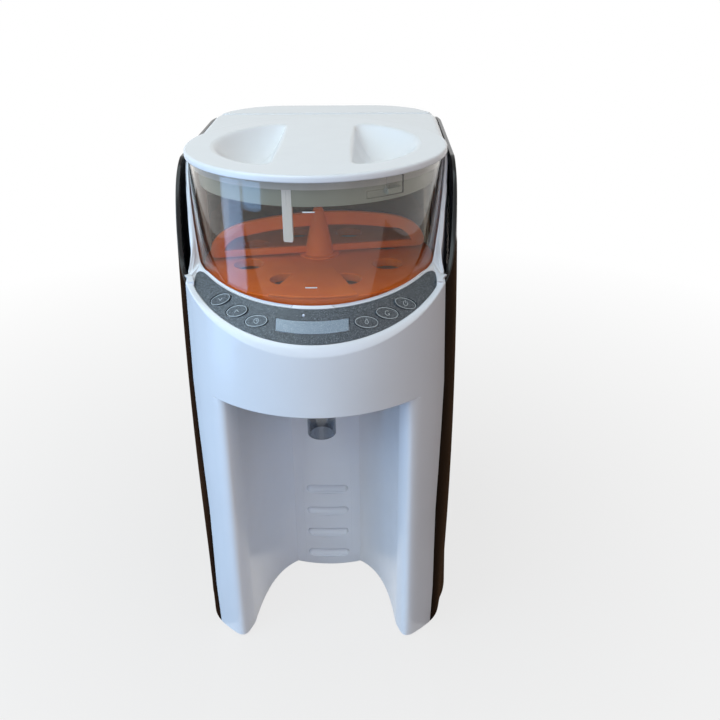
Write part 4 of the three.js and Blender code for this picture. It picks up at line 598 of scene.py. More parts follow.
def headSection(angle, reaches, deep, onSeam=False):
    creaseZ = rising(shell["creaseZ"], shell["creaseRise"], angle)
    topZ = max(rising(shell["panelZ"], shell["panelRise"], angle), creaseZ + shell["land"])
    innerZ = max(rising(shell["rimZ"], shell["rimRise"], angle), topZ)
    outer = halfWidthAt(creaseZ)
    turnIn, turnUp = shell["bevelTurn"]

    def wallPoint(z):
        if onSeam:
            return Vector((sideX(seamY, z), seamY, z))
        return aboutAxis(noseY, angle, halfWidthAt(z), z)

    side = body["gap"] / crescentFrame(angle, 0)[2]
    near, far = reaches[0] - side, reaches[1] + side
    bore = shell["bore"]
    points = [
        wallPoint(body["lipZ"]),
        wallPoint(creaseZ),
        aboutAxis(noseY, angle, outer - shell["bevelReach"] * turnIn, mix(creaseZ, topZ, turnUp)),
        aboutAxis(noseY, angle, outer - shell["bevelReach"] + shell["land"], topZ),
        crescentPoint(angle, near, 0.0),
        crescentPoint(angle, near, -deep),
        crescentPoint(angle, far, -deep),
        crescentPoint(angle, far, 0.0),
        aboutAxis(bowlY, angle, shell["rim"] - shell["land"], innerZ),
        aboutAxis(bowlY, angle, bore, innerZ),
        aboutAxis(bowlY, angle, bore, shell["ledgeZ"]),
        aboutAxis(bowlY, angle, shell["ledge"], shell["ledgeZ"]),
    ]
    return filletPath(points, [fillet * mm for fillet in shell["fillets"]])


# Behind the seam the skin runs on inside the black housing as a cheek beside the bowl, up to the deck
def cheekRim(y):
    start, end = seamY, bowlY + cheek["rear"]
    share = min(1.0, max(0.0, (y - start) / (end - start)))
    wall = shell["bore"] + cheek["boreWall"]
    skin = body["wall"] + body["gap"]
    free = sideX(y, cheekZ(y), skin) - math.sqrt(max(0.0, wall ** 2 - (y - bowlY) ** 2))
    inwards = sideX(y, cheekZ(y)) - sideX(seamY, cheekZ(y)) - skin
    width = max(0.0, min(cheek["rim"], free - cheek["least"], inwards))
    return width * smoothStep((1 - share) / cheek["fadeShare"])


def cheekSection(share):
    startIn = bowlY - shell["rim"] * math.cos(math.radians(shell["seamAngle"]))
    endY = bowlY + cheek["rear"]
    outY, inY = mix(seamY, endY, share), mix(startIn, endY, share)
    creaseZ = rising(shell["creaseZ"], shell["creaseRise"], shell["seamAngle"]) + shell["land"]
    innerZ = rising(shell["rimZ"], shell["rimRise"], shell["seamAngle"])
    settled = smoothStep(share / cheek["settleShare"])
    level = cheek["proud"] * smoothStep((outY - bowlY - cheek["top"]) / (cheek["rear"] - cheek["top"]))
    outZ = mix(creaseZ, cheekZ(outY) + cheek["proud"], settled) + level
    inZ = mix(innerZ, cheekZ(inY) + cheek["proud"], settled) + level
    inset = body["wall"] + body["gap"] + cheekRim(outY)
    lipInset = min(inset, max(cheek["lip"], sideX(outY, outZ) - sideX(seamY, outZ)))
    roundness = mix(cheek["firstRound"], body["deckRound"], smoothStep(share / cheek["roundShare"]))
    lipped = smoothStep(share / cheek["lipShare"] - 1)
    sideZ = mix(cheekZ(outY) + cheek["sideRise"], outZ - roundness, lipped)
    bored = smoothStep(share / cheek["boreShare"])
    rim = mix(shell["rim"] - shell["land"], shell["bore"] + cheek["boreWall"], bored)
    angle = math.degrees(math.acos((bowlY - inY) / shell["rim"]))
    top = Vector((sideX(outY, outZ, lipInset), outY, outZ))
    inner = aboutAxis(bowlY, angle, rim, inZ)
    edge = top + (inner - top) * min(cheek["edgeShare"], roundness / (inner - top).length)
    points = [
        Vector((sideX(outY, body["lipZ"], inset), outY, body["lipZ"])),
        Vector((sideX(outY, sideZ, inset), outY, sideZ)),
        Vector((sideX(outY, sideZ, lipInset), outY, sideZ)),
        top,
        *steps(edge, inner, 4),
        aboutAxis(bowlY, angle, shell["bore"], inZ),
        aboutAxis(bowlY, angle, shell["bore"], shell["ledgeZ"]),
        aboutAxis(bowlY, angle, shell["ledge"], shell["ledgeZ"]),
    ]
    bends = [fillet * mm for fillet in cheek["fillets"]]
    return filletPath(points, [0.0, 0.0, roundness] + [0.0] * 4 + bends)


def mirrored(points):
    return [Vector((-point.x, point.y, point.z)) for point in points]


# Bottle niche in plan: mouth, soft pillar edge, side wall, round corner, and a back that bulges forward
niche = {"side": (60.5 * mm, -72 * mm), "bends": ((57 * mm, -40 * mm), (50 * mm, -8 * mm)),
         "back": (29.5 * mm, 6.2 * mm), "bulge": 4.4 * mm, "pull": 18 * mm}


def nichePath(z):
    mouth = aboutAxis(noseY, shell["mouthAngle"], halfWidthAt(z), z)
    turn = math.radians(shell["mouthAngle"])
    pulled = mouth - Vector((math.cos(turn), math.sin(turn), 0.0)) * niche["pull"]
    corners = (niche["side"], *niche["bends"], niche["back"])
    side, first, second, back = [Vector((x, bowlY + y, z)) for x, y in corners]
    middle = Vector((0.0, back.y - niche["bulge"], z))
    bulge = Vector((back.x / 2, middle.y, z))
    wall = []
    for t in steps(0, 1, 14)[1:]:
        u = 1 - t
        wall.append(side * u ** 3 + first * (3 * u * u * t) + second * (3 * u * t * t) + back * t ** 3)
    return curve(mouth, pulled, side, 14)[1:] + wall + curve(back, bulge, middle, 8)[1:]


def nicheBackY(x):
    share = 1 - min(1.0, abs(x) / niche["back"][0])
    back = niche["back"][1]
    return bowlY + mix(back, back - niche["bulge"], 1 - (1 - share) ** 2)


def headAngles():
    tipStart = shell["tipAngle"] - shell["tipSpan"]
    tip = [tipStart + shell["tipSpan"] * math.sin(turn) for turn in steps(0, math.pi / 2, 8)]
    return sorted(steps(0, 56, 28) + [shell["mouthAngle"], 57.2] + tip)


def makeFrontShell():
    half = headAngles()
    closed = shell["tipAngle"] + shell["closing"]
    right = [headSection(angle, panelReach(angle), shell["recess"]) for angle in half]
    right.append(headSection(closed, (0.5, 0.5), 0.0))
    right.append(headSection(shell["seamAngle"], (0.5, 0.5), 0.0, onSeam=True))
    right += [cheekSection(share) for share in steps(0, 1, 30)]
    sections = [mirrored(section) for section in reversed(right[1:])] + right
    head = addSheet("head", len(sections), len(sections[0]), lambda column, row: sections[column][row])

    wallAngles = [angle for angle in half if angle >= shell["mouthAngle"]] + [closed]

    def seamAngleAt(z):
        return math.degrees(math.acos((noseY - seamYAt(z)) / halfWidthAt(z)))

    def planPath(z):
        mouth = shell["mouthAngle"]
        squeeze = (seamAngleAt(z) - mouth) / (seamAngleAt(body["lipZ"]) - mouth)
        outer = [Vector((sideX(seamYAt(z), z), seamYAt(z), z))]
        for angle in reversed(wallAngles):
            outer.append(aboutAxis(noseY, mouth + (angle - mouth) * squeeze, halfWidthAt(z), z))
        rightPath = outer + nichePath(z)
        return mirrored(rightPath) + list(reversed(rightPath))[1:]

    levels = steps(body["lowZ"], body["lipZ"], 6)
    rows = [planPath(z) for z in levels]
    pillars = addSheet("pillars", len(rows[0]), len(rows), lambda column, row: rows[row][column])
    piece = joinPieces(head, pillars)
    mergeNear(piece, body["merge"])
    applyModifier(piece, "SOLIDIFY", thickness=shell["thickness"], offset=-1.0, use_even_offset=False)
    mouthX = aboutAxis(noseY, shell["mouthAngle"], halfWidthAt(body["lipZ"]), 0).x

    def onLip(middle):
        level = abs(middle.z - body["lipZ"]) < shell["lipNear"]
        reach = math.hypot(middle.x, middle.y - noseY) - halfWidthAt(body["lipZ"])
        return level and abs(reach) < shell["lipBand"] and abs(middle.x) < mouthX - shell["lipEnd"]

    roundEdges(piece, shell["lipEdge"], onLip)
    near, far = rack["room"]
    low, high = rack["roomLowZ"], rack["topZ"] + rack["gap"]
    combine(piece, addBlock("rackRoom", rack["halfWidth"] + rack["gap"], bowlY + near, bowlY + far, low, high))
    finishPiece(piece, "front_shell", smooth=32, swollen=True)


# Strip in the niche's back with the slots for the bottle stand
rack = {"halfWidth": 21.5 * mm, "topZ": 110.6 * mm, "rear": 11.8 * mm, "slotHalf": 18.5 * mm,
        "slotHeight": 7.4 * mm, "slotDepth": 7 * mm, "slotZ": 11.4 * mm, "pitch": 24.2 * mm, "count": 4,
        "edge": 1.2 * mm, "gap": 0.03 * mm, "ledgeShare": 0.35, "overrun": 3 * mm, "room": (-4 * mm, 26 * mm),
        "roomLowZ": -5 * mm}


# One slot's cutter: a stadium that flares at the curved face and whose ledge climbs towards the back
def addSlotCutter(lowZ):
    half, high = rack["slotHalf"], rack["slotHeight"] / 2
    edge = rack["edge"]
    flares = [(edge * (1 - math.sin(a)), edge * (1 - math.cos(a))) for a in steps(0, math.pi / 2, 4)]
    rings = [(edge, -rack["overrun"]), *flares, (0.0, None)]
    sections = []
    for flare, depth in rings:
        section = []
        for side in (1, -1):
            for turn in steps(-90, 90, 12):
                angle = math.radians(turn)
                x = side * (half - high + (high + flare) * math.cos(angle))
                z = lowZ + high + side * (high + flare) * math.sin(angle)
                y = bowlY + rack["rear"] - rack["overrun"] if depth is None else nicheBackY(x) + depth
                if depth is None:
                    z = mix(lowZ + rack["slotHeight"], z, rack["ledgeShare"])
                section.append(Vector((x, y, z)))
        sections.append(section)
    return addTube("slotCutter", sections)


def makeStandRack():
    xs = steps(-rack["halfWidth"], rack["halfWidth"], 24)
    zs = [body["lowZ"], rack["topZ"]]

    def placeOf(column, row):
        return Vector((xs[column], nicheBackY(xs[column]), zs[row]))

    piece = addSheet("rackFace", len(xs), 2, placeOf)
    edit(piece)
    depth = rack["slotDepth"] + body["wall"]
    bpy.ops.mesh.extrude_region_move(TRANSFORM_OT_translate={"value": (0.0, depth, 0.0)})
    faceOutwards()
    endEdit()
    for i in range(rack["count"]):
        combine(piece, addSlotCutter(rack["slotZ"] + i * rack["pitch"]))
    finishPiece(piece, "stand_rack", smooth=32)


# Piano-black housing: side skins with the swept top edge, rear wall, bay wall and tank shelf
rear = {"bayY": 109 * mm, "shelfZ": 112 * mm, "vents": 7, "ventPitch": 9 * mm, "ventWidth": 3 * mm,
        "ventZ": (42 * mm, 76 * mm), "glandX": 30 * mm, "glandZ": 24 * mm, "glandRadius": 6.5 * mm,
        "topZ": 387 * mm, "cutDepth": 14 * mm, "levels": (40 * mm, 80 * mm), "overlap": 0.1 * mm,
        "edge": 0.7 * mm, "edgeLowZ": 20 * mm, "rows": 8}


# Body outline from the seam on the right round the back to the seam on the left
def outlinePath(z, inset, startY):
    half = halfWidthAt(z) - inset
    path = []
    if startY < noseY:
        startAngle = math.degrees(math.acos((noseY - startY) / half))
        path += [aboutAxis(noseY, angle, half, z) for angle in steps(startAngle, 90, 16)][:-1]
        startY = noseY
    cornerRadius = body["rearCorner"]
    centreY = bodyDepth / 2 - cornerRadius
    path += [Vector((half, y, z)) for y in steps(startY, bowlY + 8 * mm, 10)][:-1]
    path += [Vector((half, y, z)) for y in steps(bowlY + 8 * mm, centreY, 6)][:-1]
    bayTurn = math.degrees(math.asin((rear["bayY"] - centreY) / (cornerRadius - inset)))
    centreX = halfWidthAt(z) - cornerRadius
    for turn in steps(0, bayTurn, 4)[:-1] + steps(bayTurn, 90, 14):
        angle = math.radians(turn)
        radius = cornerRadius - inset
        path.append(Vector((centreX + radius * math.cos(angle), centreY + radius * math.sin(angle), z)))
    path += [Vector((x, bodyDepth / 2 - inset, z)) for x in steps(centreX, 0, 4)[1:]]
    return path + list(reversed(mirrored(path)))[1:]


# Cuts an outline in x and z through the rear wall
def cutRear(piece, outline):
    depth = rear["cutDepth"]
    start = bodyDepth / 2 - depth / 2
    combine(piece, addPrism("rearCut", outline, depth, lambda x, z, deep: Vector((x, start + deep, z))))


# A thicker black rim inside the skin's swept edge, from above the panel's ends to the deck
def addSideRim(side):
    sections = []
    for share in steps(*cheek["rimSpan"], 40):
        y = mix(seamY, bowlY + cheek["rear"], share)
        top, width = cheekZ(y), max(cheekRim(y), cheek["rimLeast"])
        start, end = body["wall"] - cheek["rimOverlap"], body["wall"] + width
        low = top - cheek["rimDepth"]
        corners = [(start, low), (end, low), (end, top), (start, top - cheek["rimDrop"])]
        points = [Vector((sideX(y, z, inset), y, z)) for inset, z in corners]
        bend = min(cheek["rimRound"], width * cheek["rimBend"])
        start = points[2] + (points[1] - points[2]).normalized() * bend
        end = points[2] + (points[3] - points[2]).normalized() * bend
        loop = points[:2] + curve(start, points[2], end, 5) + points[3:]
        sections.append([Vector((side * point.x, point.y, point.z)) for point in loop])
    return addTube("sideRim", sections)


def makeRearHousing():
    def skinPath(z):
        return outlinePath(z, 0.0, seamYAt(z) + body["gap"])

    lowRows = [skinPath(z) for z in (body["lowZ"], *rear["levels"], rear["shelfZ"])]
    topRow = skinPath(cheek["lowZ"])
    count = len(topRow)

    def placeOf(column, row):
        if row < len(lowRows):
            return lowRows[row][column]
        share = (row - len(lowRows) + 1) / rear["rows"]
        return skinPath(mix(rear["shelfZ"], min(cheekZ(topRow[column].y), rear["topZ"]), share))[column]

    piece = addSheet("skin", count, len(lowRows) + rear["rows"], placeOf)
    edit(piece, "FACE", selected=False)
    shape = bmesh.from_edit_mesh(piece.data)
    for face in shape.faces:
        middle = face.calc_center_median()
        face.select_set(middle.y > rear["bayY"] and middle.z > rear["shelfZ"])
    bmesh.update_edit_mesh(piece.data)
    bpy.ops.mesh.delete(type="FACE")
    endEdit()
    mergeNear(piece, body["merge"])
    applyModifier(piece, "SOLIDIFY", thickness=body["wall"], offset=-1.0)
    roundEdges(piece, rear["edge"], lambda middle: middle.z > rear["edgeLowZ"], turn=1.0)
    wallLow, wallHigh = rear["bayY"] - body["wall"], rear["bayY"]
    inset = body["wall"] - rear["overlap"]
    centreX, centreY = halfWidthAt(rear["topZ"]) - body["rearCorner"], bodyDepth / 2 - body["rearCorner"]
    reach = centreX + math.sqrt((body["rearCorner"] - inset) ** 2 - (wallHigh - centreY) ** 2)
    lowZ = rear["shelfZ"] - body["wall"]
    bay = addBlock("bayWall", reach, wallLow, wallHigh, lowZ, rear["topZ"])
    shelfOutline = [point for point in outlinePath(rear["shelfZ"], inset, seamY) if point.y > wallLow]
    shelf = addUpright("shelf", shelfOutline, lowZ, rear["shelfZ"])
    piece = joinPieces(piece, bay, shelf, *[addSideRim(side) for side in (1, -1)])
    half = rear["ventWidth"] / 2
    low, high = rear["ventZ"]
    for i in range(rear["vents"]):
        x = (i - (rear["vents"] - 1) / 2) * rear["ventPitch"]
        outline = [polar(half, turn, (x, high - half)) for turn in steps(0, 180, 8)]
        cutRear(piece, outline + [polar(half, turn, (x, low + half)) for turn in steps(180, 360, 8)])
    cutRear(piece, circlePoints(rear["glandRadius"], 48, (rear["glandX"], rear["glandZ"])))
    finishPiece(piece, "rear_housing", smooth=32, swollen=True)


# White deck behind the bowl, its outer edge rounded over
deck = {"lowZ": 375 * mm, "edge": 0.5 * mm, "roomHalf": 200 * mm, "roomZ": (370 * mm, 400 * mm),
        "boreZ": (360 * mm, 410 * mm)}


def makeTopDeck():
    inset = body["wall"] + body["gap"]
    rows = [(deck["lowZ"], inset)] + overEdge(body["height"], body["deckRound"], inset)
    piece = addTube("deck", [outlinePath(z, d, noseY) for z, d in rows])
    front, back = bowlY + cheek["rear"] + body["gap"], rear["bayY"] - body["wall"] - body["gap"]
    combine(piece, addBlock("room", deck["roomHalf"], front, back, *deck["roomZ"]), "INTERSECT")
    combine(piece, addRod("bore", shell["bore"], *deck["boreZ"], (0, bowlY), 128))
    roundEdges(piece, deck["edge"], lambda middle: middle.z > body["height"] - 2 * mm, turn=1.0)
    finishPiece(piece, "top_deck", smooth=32, swollen=True)


# A bar that follows a round wall, between two angles from straight ahead
def addArcBar(name, axisY, radii, angles, heights, edge=0.3 * mm, count=8):
    inner, outer = radii
    outline = [aboutAxis(axisY, angle, outer, 0) for angle in steps(angles[0], angles[1], count)]
    outline += [aboutAxis(axisY, angle, inner, 0) for angle in steps(angles[1], angles[0], count)]
    bar = addUpright(name, outline, *heights)
    if edge:
        bevelSharp(bar, edge)
    return bar


# White lid: thin plate with a rolled rim, a skirt, and two D-shaped finger scoops beside a grip bar
lid = {"radius": 95 * mm, "topZ": 397.5 * mm, "plate": 3 * mm, "rim": 5 * mm, "round": 2.2 * mm,
       "skirt": 86 * mm, "skirtWall": 2.5 * mm, "skirtDrop": 22.5 * mm, "tabAngle": -9.8, "tabHalf": 2.16,
       "tabRound": 1.8 * mm, "tabDrop": 24 * mm, "tabEdge": 0.6 * mm, "gripHalf": 27 * mm, "scoop": 74 * mm,
       "depth": 17 * mm, "centre": 45 * mm, "powers": (1.7, 3.0), "edge": 2.8 * mm,
       "levelShares": (1.0, 0.93, 0.86, 0.78, 0.7, 0.6, 0.5, 0.4, 0.28, 0.15, 0.0), "near": 0.1 * mm,
       "shell": 2.4 * mm, "corner": 15, "lugAngle": 37.6, "lugHalf": 3.8, "lugZ": (379.8 * mm, 383.8 * mm),
       "lugReach": 90.9 * mm, "cornerNear": 0.4 * mm}


def scoopOutline(grow):
    inner, outer = lid["gripHalf"] - grow, lid["scoop"] + grow
    turn = math.degrees(math.acos(inner / outer)) - lid["corner"]
    arc = [Vector((*polar(outer, angle), 0)) for angle in steps(-turn, turn, 30)]
    half = outer * math.sin(math.radians(turn)) - 2 * lid["edge"]
    corner = Vector((inner, math.sqrt(outer ** 2 - inner ** 2), 0))
    line = [Vector((inner, y, 0)) for y in steps(half, -half, 16)]
    bends = []
    for start, sign, end in ((arc[-1], 1, line[0]), (line[-1], -1, arc[0])):
        sharp = Vector((corner.x, sign * corner.y, 0))
        bends.append(curve(start, sharp, end, 6)[1:-1])
    return arc + bends[0] + line + bends[1]


def addScoop(name, side, grow, topZ):
    rim, mouth = scoopOutline(grow), scoopOutline(grow + lid["edge"])
    centre = Vector((lid["centre"], 0, 0))
    depth = lid["depth"] + grow
    columns = []
    for i in range(len(rim)):
        outward = (rim[i] - centre).normalized().x
        power = mix(lid["powers"][1], lid["powers"][0], (outward + 1) / 2)
        line = [mouth[i] + Vector((0, 0, lid["topZ"]))]
        for share in lid["levelShares"]:
            point = centre + (rim[i] - centre) * share
            line.append(Vector((point.x, point.y, lid["topZ"] - depth * (1 - share ** power))))
        line = filletPath(line, [lid["edge"]] + [0.0] * (len(line) - 3))
        column = [mouth[i] + Vector((0, 0, topZ))] + line
        if grow:
            column = [Vector((point.x, point.y, min(point.z, topZ))) for point in column]
        columns.append([Vector((side * point.x, bowlY + point.y, point.z)) for point in column])
    return addTube(name, [[column[row] for column in columns] for row in range(len(columns[0]))])


def makePowderLid():
    top, under = lid["topZ"], lid["topZ"] - lid["plate"]
    inner = lid["skirt"] - lid["skirtWall"]
    piece = addTurned("lidBody", [
        (0, under, 0), (inner, under, 1 * mm), (inner, top - lid["skirtDrop"], 0.6 * mm),
        (lid["skirt"], top - lid["skirtDrop"], 0.6 * mm), (lid["skirt"], top - lid["rim"], 0.8 * mm),
        (lid["radius"], top - lid["rim"], 1.2 * mm), (lid["radius"], top, lid["round"]), (0, top, 0)],
        (0, bowlY), 144, 5)
    for side in (1, -1):
        combine(piece, addScoop("dish", side, lid["shell"], top - lid["plate"] / 2), "UNION")
    for side in (1, -1):
        combine(piece, addScoop("scoop", side, 0.0, top + lid["plate"]))
    low = top - lid["skirtDrop"] - lid["tabDrop"]
    angles = (lid["tabAngle"] - lid["tabHalf"], lid["tabAngle"] + lid["tabHalf"])
    tab = addArcBar("tab", bowlY, (inner, lid["skirt"]), angles, (low, under - lid["plate"]), 0)
    between = (inner + lid["skirt"]) / 2

    def onTabCorner(middle):
        reach = math.hypot(middle.x, middle.y - bowlY)
        return middle.z < low + lid["near"] and abs(reach - between) < lid["cornerNear"]

    roundEdges(tab, lid["tabRound"], onTabCorner, segments=5)
    bevelSharp(tab, lid["tabEdge"])
    half = lid["lugHalf"]
    lugs = [addArcBar("lug", bowlY, (inner, lid["lugReach"]), (at - half, at + half), lid["lugZ"])
            for at in (lid["lugAngle"] + 120 * i for i in range(3))]
    piece = joinPieces(piece, tab, *lugs)
    # The skirt's faces, under the rim, take the darker grey-green gloss: painted shade on the white moulding
    for name in ("white_abs", "skirt_painted_shade_abs"):
        piece.data.materials.append(materials[name])
    for face in piece.data.polygons:
        reach = math.hypot(face.center.x, face.center.y - bowlY)
        onSkirt = top - lid["skirtDrop"] - lid["near"] < face.center.z < top - lid["rim"] + lid["near"]
        face.material_index = 1 if onSkirt and reach > inner - lid["near"] else 0
    finishPiece(piece, "powder_lid", finish="own")


# Smoke container: straight wall, floor with hub hole and outlet, foot ring, bayonet grooves at the rim
container = {"radius": 92.5 * mm, "wall": 2.8 * mm, "floorZ": 303 * mm, "floor": 3 * mm, "foot": 84 * mm,
             "footDrop": 3 * mm, "rimZ": 392 * mm, "hub": 9.6 * mm, "outlet": 11.5 * mm,
             "outletReach": 56 * mm, "groove": 1.5 * mm, "grooveAngle": 37.6, "grooveHalf": 4.33,
             "grooveTurn": 9.2, "grooveZ": (379.4 * mm, 384.2 * mm), "markHeights": (373.4 * mm, 321.5 * mm),
             "markAngles": (-2.6, 2.3), "mark": 0.8 * mm, "markGap": 0.01 * mm, "markProud": 0.12 * mm,
             "overrun": 1 * mm}


def makePowderContainer():
    low, floorTop = container["floorZ"], container["floorZ"] + container["floor"]
    inner, outer = container["radius"] - container["wall"], container["radius"]
    hub, ring, rimZ, over = container["hub"], container["foot"], container["rimZ"], container["overrun"]
    footZ = low - container["footDrop"]
    piece = addTurned("containerBody", [
        (hub, floorTop, 0), (hub, low, 0.3 * mm), (ring, low, 0.3 * mm), (ring, footZ, 0.4 * mm),
        (inner, footZ, 0.8 * mm), (outer, low, 1.5 * mm), (outer, rimZ, 0.9 * mm), (inner, rimZ, 0.9 * mm),
        (inner, floorTop, 2.2 * mm), (hub, floorTop, 0)], (0, bowlY), 144)
    combine(piece, addRod("outlet", container["outlet"], low - over, floorTop + over,
                          (0, bowlY - container["outletReach"])))
    radii = (inner - 3 * mm, inner + container["groove"])
    half = container["grooveHalf"]
    grooveLow = container["grooveZ"][0]
    for i in range(3):
        at = container["grooveAngle"] + 120 * i
        heights = (grooveLow, rimZ + 2 * over)
        shaft = addArcBar("shaft", bowlY, radii, (at - half, at + half), heights, 0)
        turned = (at - half - container["grooveTurn"], at - half / 2)
        side = addArcBar("side", bowlY, radii, turned, container["grooveZ"], 0)
        combine(shaft, side, "UNION")
        combine(piece, shaft)
    finishPiece(piece, "powder_container")


def makeLevelMarks():
    radii = [container["radius"] + container[name] for name in ("markGap", "markProud")]
    half = container["mark"] / 2
    marks = [addArcBar("mark", bowlY, radii, container["markAngles"], (height - half, height + half), 0)
             for height in container["markHeights"]]
    piece = joinPieces(*marks)
    finishPiece(piece, "level_marks", smooth=35, rides="powder_container", finish="mark_print")


# Slate overlay over the crescent, with round tips and holes for keys, display and lamp
panel = {"thickness": 1 * mm, "edge": 0.22 * mm, "keyHalf": (8.4 * mm, 4.2 * mm), "keyProud": 0.2 * mm,
         "keyDepth": 2.8 * mm, "keyAngles": {-1: (22.9, 32.4, 41.8), 1: (21.9, 31.2, 40.4)},
         "keyShares": {-1: (0.44, 0.5, 0.56), 1: (0.42, 0.46, 0.46)}, "windowAngle": 14.6,
         "windowShares": (0.3, 0.665), "ledAngle": -3.4, "ledShare": 0.83, "ledRadius": 0.9 * mm,
         "ringInset": 0.3 * mm, "ringWidth": 0.34 * mm, "cutDepth": 6 * mm, "glassEdge": 0.3 * mm,
         "keyEdge": 0.2 * mm, "keyCut": 0.06 * mm, "keyInner": (-2 * mm, -3 * mm), "keyFlat": 0.02 * mm,
         "lampRings": ((1, -5), (1, -0.1), (0.92, 0.15), (0.7, 0.32), (0.35, 0.42), (0.01, 0.45))}


def keyPlace(angle, share):
    point, normal, _ = crescentFrame(angle, share)
    along = (Vector((1, 0, 0)) - normal * normal.x).normalized()
    up = normal.cross(along)
    return lambda x, y, lift: point + along * x + up * y + normal * lift


# Each key's side, its number from left to right, and its place on the crescent
def keyPlaces():
    for side, sign in (("left", -1), ("right", 1)):
        for i, (angle, share) in enumerate(zip(panel["keyAngles"][sign], panel["keyShares"][sign])):
            yield side, 3 - i if side == "left" else i + 1, keyPlace(sign * angle, share)


# A cutter through the overlay, drawn on the crescent
def addPanelCutter(outline, place):
    depth = panel["cutDepth"]
    return addPrism("panelCut", outline, depth, lambda x, y, z: place(x, y, z - depth / 2))


def ovalPoints(grow, count=48):
    halfLength, halfHeight = panel["keyHalf"][0] + grow, panel["keyHalf"][1] + grow
    return [(halfLength * math.cos(2 * math.pi * i / count), halfHeight * math.sin(2 * math.pi * i / count))
            for i in range(count)]


def addStrip(name, angle, shares, grow, low, high):
    across = grow / crescentFrame(0, 0)[2]
    turn = math.degrees(grow / shell["rim"])
    angles = steps(-angle - turn, angle + turn, 20)
    shareSteps = steps(shares[0] - across, shares[1] + across, 4)
    strip = addSheet(name, len(angles), len(shareSteps),
                     lambda column, row: crescentPoint(angles[column], shareSteps[row], high))
    applyModifier(strip, "SOLIDIFY", thickness=high - low, offset=-1.0)
    return strip


def makeControlPanel():
    half = headAngles()
    angles = [-angle for angle in reversed(half[1:])] + half

    def placeOf(column, row):
        low, high = panelReach(angles[column])
        return crescentPoint(angles[column], mix(low, high, row / 12), 0.0)

    piece = addSheet("overlay", len(angles), 13, placeOf)
    applyModifier(piece, "SOLIDIFY", thickness=panel["thickness"], offset=-1.0)
    roundEdges(piece, panel["edge"], lambda middle: True, turn=0.9, segments=2)
    reach = panel["cutDepth"] / 2
    cutters = [addStrip("room", panel["windowAngle"], panel["windowShares"], body["gap"], -reach, reach)]
    cutters += [addPanelCutter(ovalPoints(body["gap"]), place) for _, _, place in keyPlaces()]
    lampOutline = circlePoints(panel["ledRadius"] + body["gap"], 24)
    cutters.append(addPanelCutter(lampOutline, keyPlace(panel["ledAngle"], panel["ledShare"])))
    combine(piece, joinPieces(*cutters))
    finishPiece(piece, "control_panel", smooth=30, swollen=True)


def arcStroke(radius, fromTurn, toTurn, count):
    return [polar(radius, turn) for turn in steps(fromTurn, toTurn, count)]


# Plain printed signs, one a key, drawn as strokes: more, less, drop, clock, turn and on
signs = {
    ("left", 1): [[(-1.6 * mm, 0.9 * mm), (0, -0.9 * mm), (1.6 * mm, 0.9 * mm)]],
    ("left", 2): [[(-1.6 * mm, -0.9 * mm), (0, 0.9 * mm), (1.6 * mm, -0.9 * mm)]],
    ("left", 3): [arcStroke(1.7 * mm, 0, 360, 24), [(0, 1.1 * mm), (0, 0), (0.8 * mm, 0)]],
    ("right", 1): [arcStroke(1.2 * mm, -220, 40, 16) + [(0, 2.2 * mm), (-0.92 * mm, 0.77 * mm)]],
    ("right", 2): [arcStroke(1.6 * mm, 60, 350, 18),
                   [(0.7 * mm, -0.3 * mm), (1.58 * mm, -0.3 * mm), (1.58 * mm, -1.2 * mm)]],
    ("right", 3): [arcStroke(1.7 * mm, 125, 415, 20), [(0, 2.2 * mm), (0, 0.5 * mm)]],
}
strokeHalf, strokeDepth = 0.16 * mm, 0.04 * mm


def addStroke(start, end, placeOf):
    ahead = math.atan2(end[1] - start[1], end[0] - start[0])
    outline = []
    for point, first in ((end, -90), (start, 90)):
        for turn in steps(first, first + 180, 4):
            angle = ahead + math.radians(turn)
            outline.append((point[0] + strokeHalf * math.cos(angle), point[1] + strokeHalf * math.sin(angle)))
    return addPrism("stroke", outline, strokeDepth, placeOf)


def makeKeys():
    proud, ringOut, ringIn = panel["keyProud"], -panel["ringInset"], -panel["ringInset"] - panel["ringWidth"]
    edge, cut = panel["keyEdge"], panel["keyCut"]
    levels = [(0.0, -panel["keyDepth"]), (0.0, proud - edge), (-cut, proud - cut)]
    levels += [(grow, proud) for grow in (-edge, ringOut, ringIn, *panel["keyInner"])]
    for side, number, place in keyPlaces():
        key = addTube("key", [[place(x, y, lift) for x, y in ovalPoints(grow)] for grow, lift in levels])
        for slotName in ("slate_panel", "key_print"):
            key.data.materials.append(materials[slotName])
        centre = place(0, 0, proud)
        along, up = place(1, 0, proud) - centre, place(0, 1, proud) - centre
        for face in key.data.polygons:
            offset = face.center - centre
            x, y = offset.dot(along), offset.dot(up)
            onRing = ovalShare(x, y, ringIn) > 1 > ovalShare(x, y, ringOut)
            flat = abs(offset.dot(along.cross(up))) < panel["keyFlat"]
            face.material_index = 1 if flat and onRing and len(face.vertices) == 4 else 0
        strokes = []
        for line in signs[side, number]:
            for start, end in zip(line, line[1:]):
                stroke = addStroke(start, end, lambda x, y, z: place(x, y, z + proud))
                stroke.data.materials.append(materials["key_print"])
                strokes.append(stroke)
        finishPiece(joinPieces(key, *strokes), f"key_{side}_{number}", smooth=35, finish="own", swollen=True)


def ovalShare(x, y, grow):
    halfLength, halfHeight = panel["keyHalf"][0] + grow, panel["keyHalf"][1] + grow
    return (x / halfLength) ** 2 + (y / halfHeight) ** 2


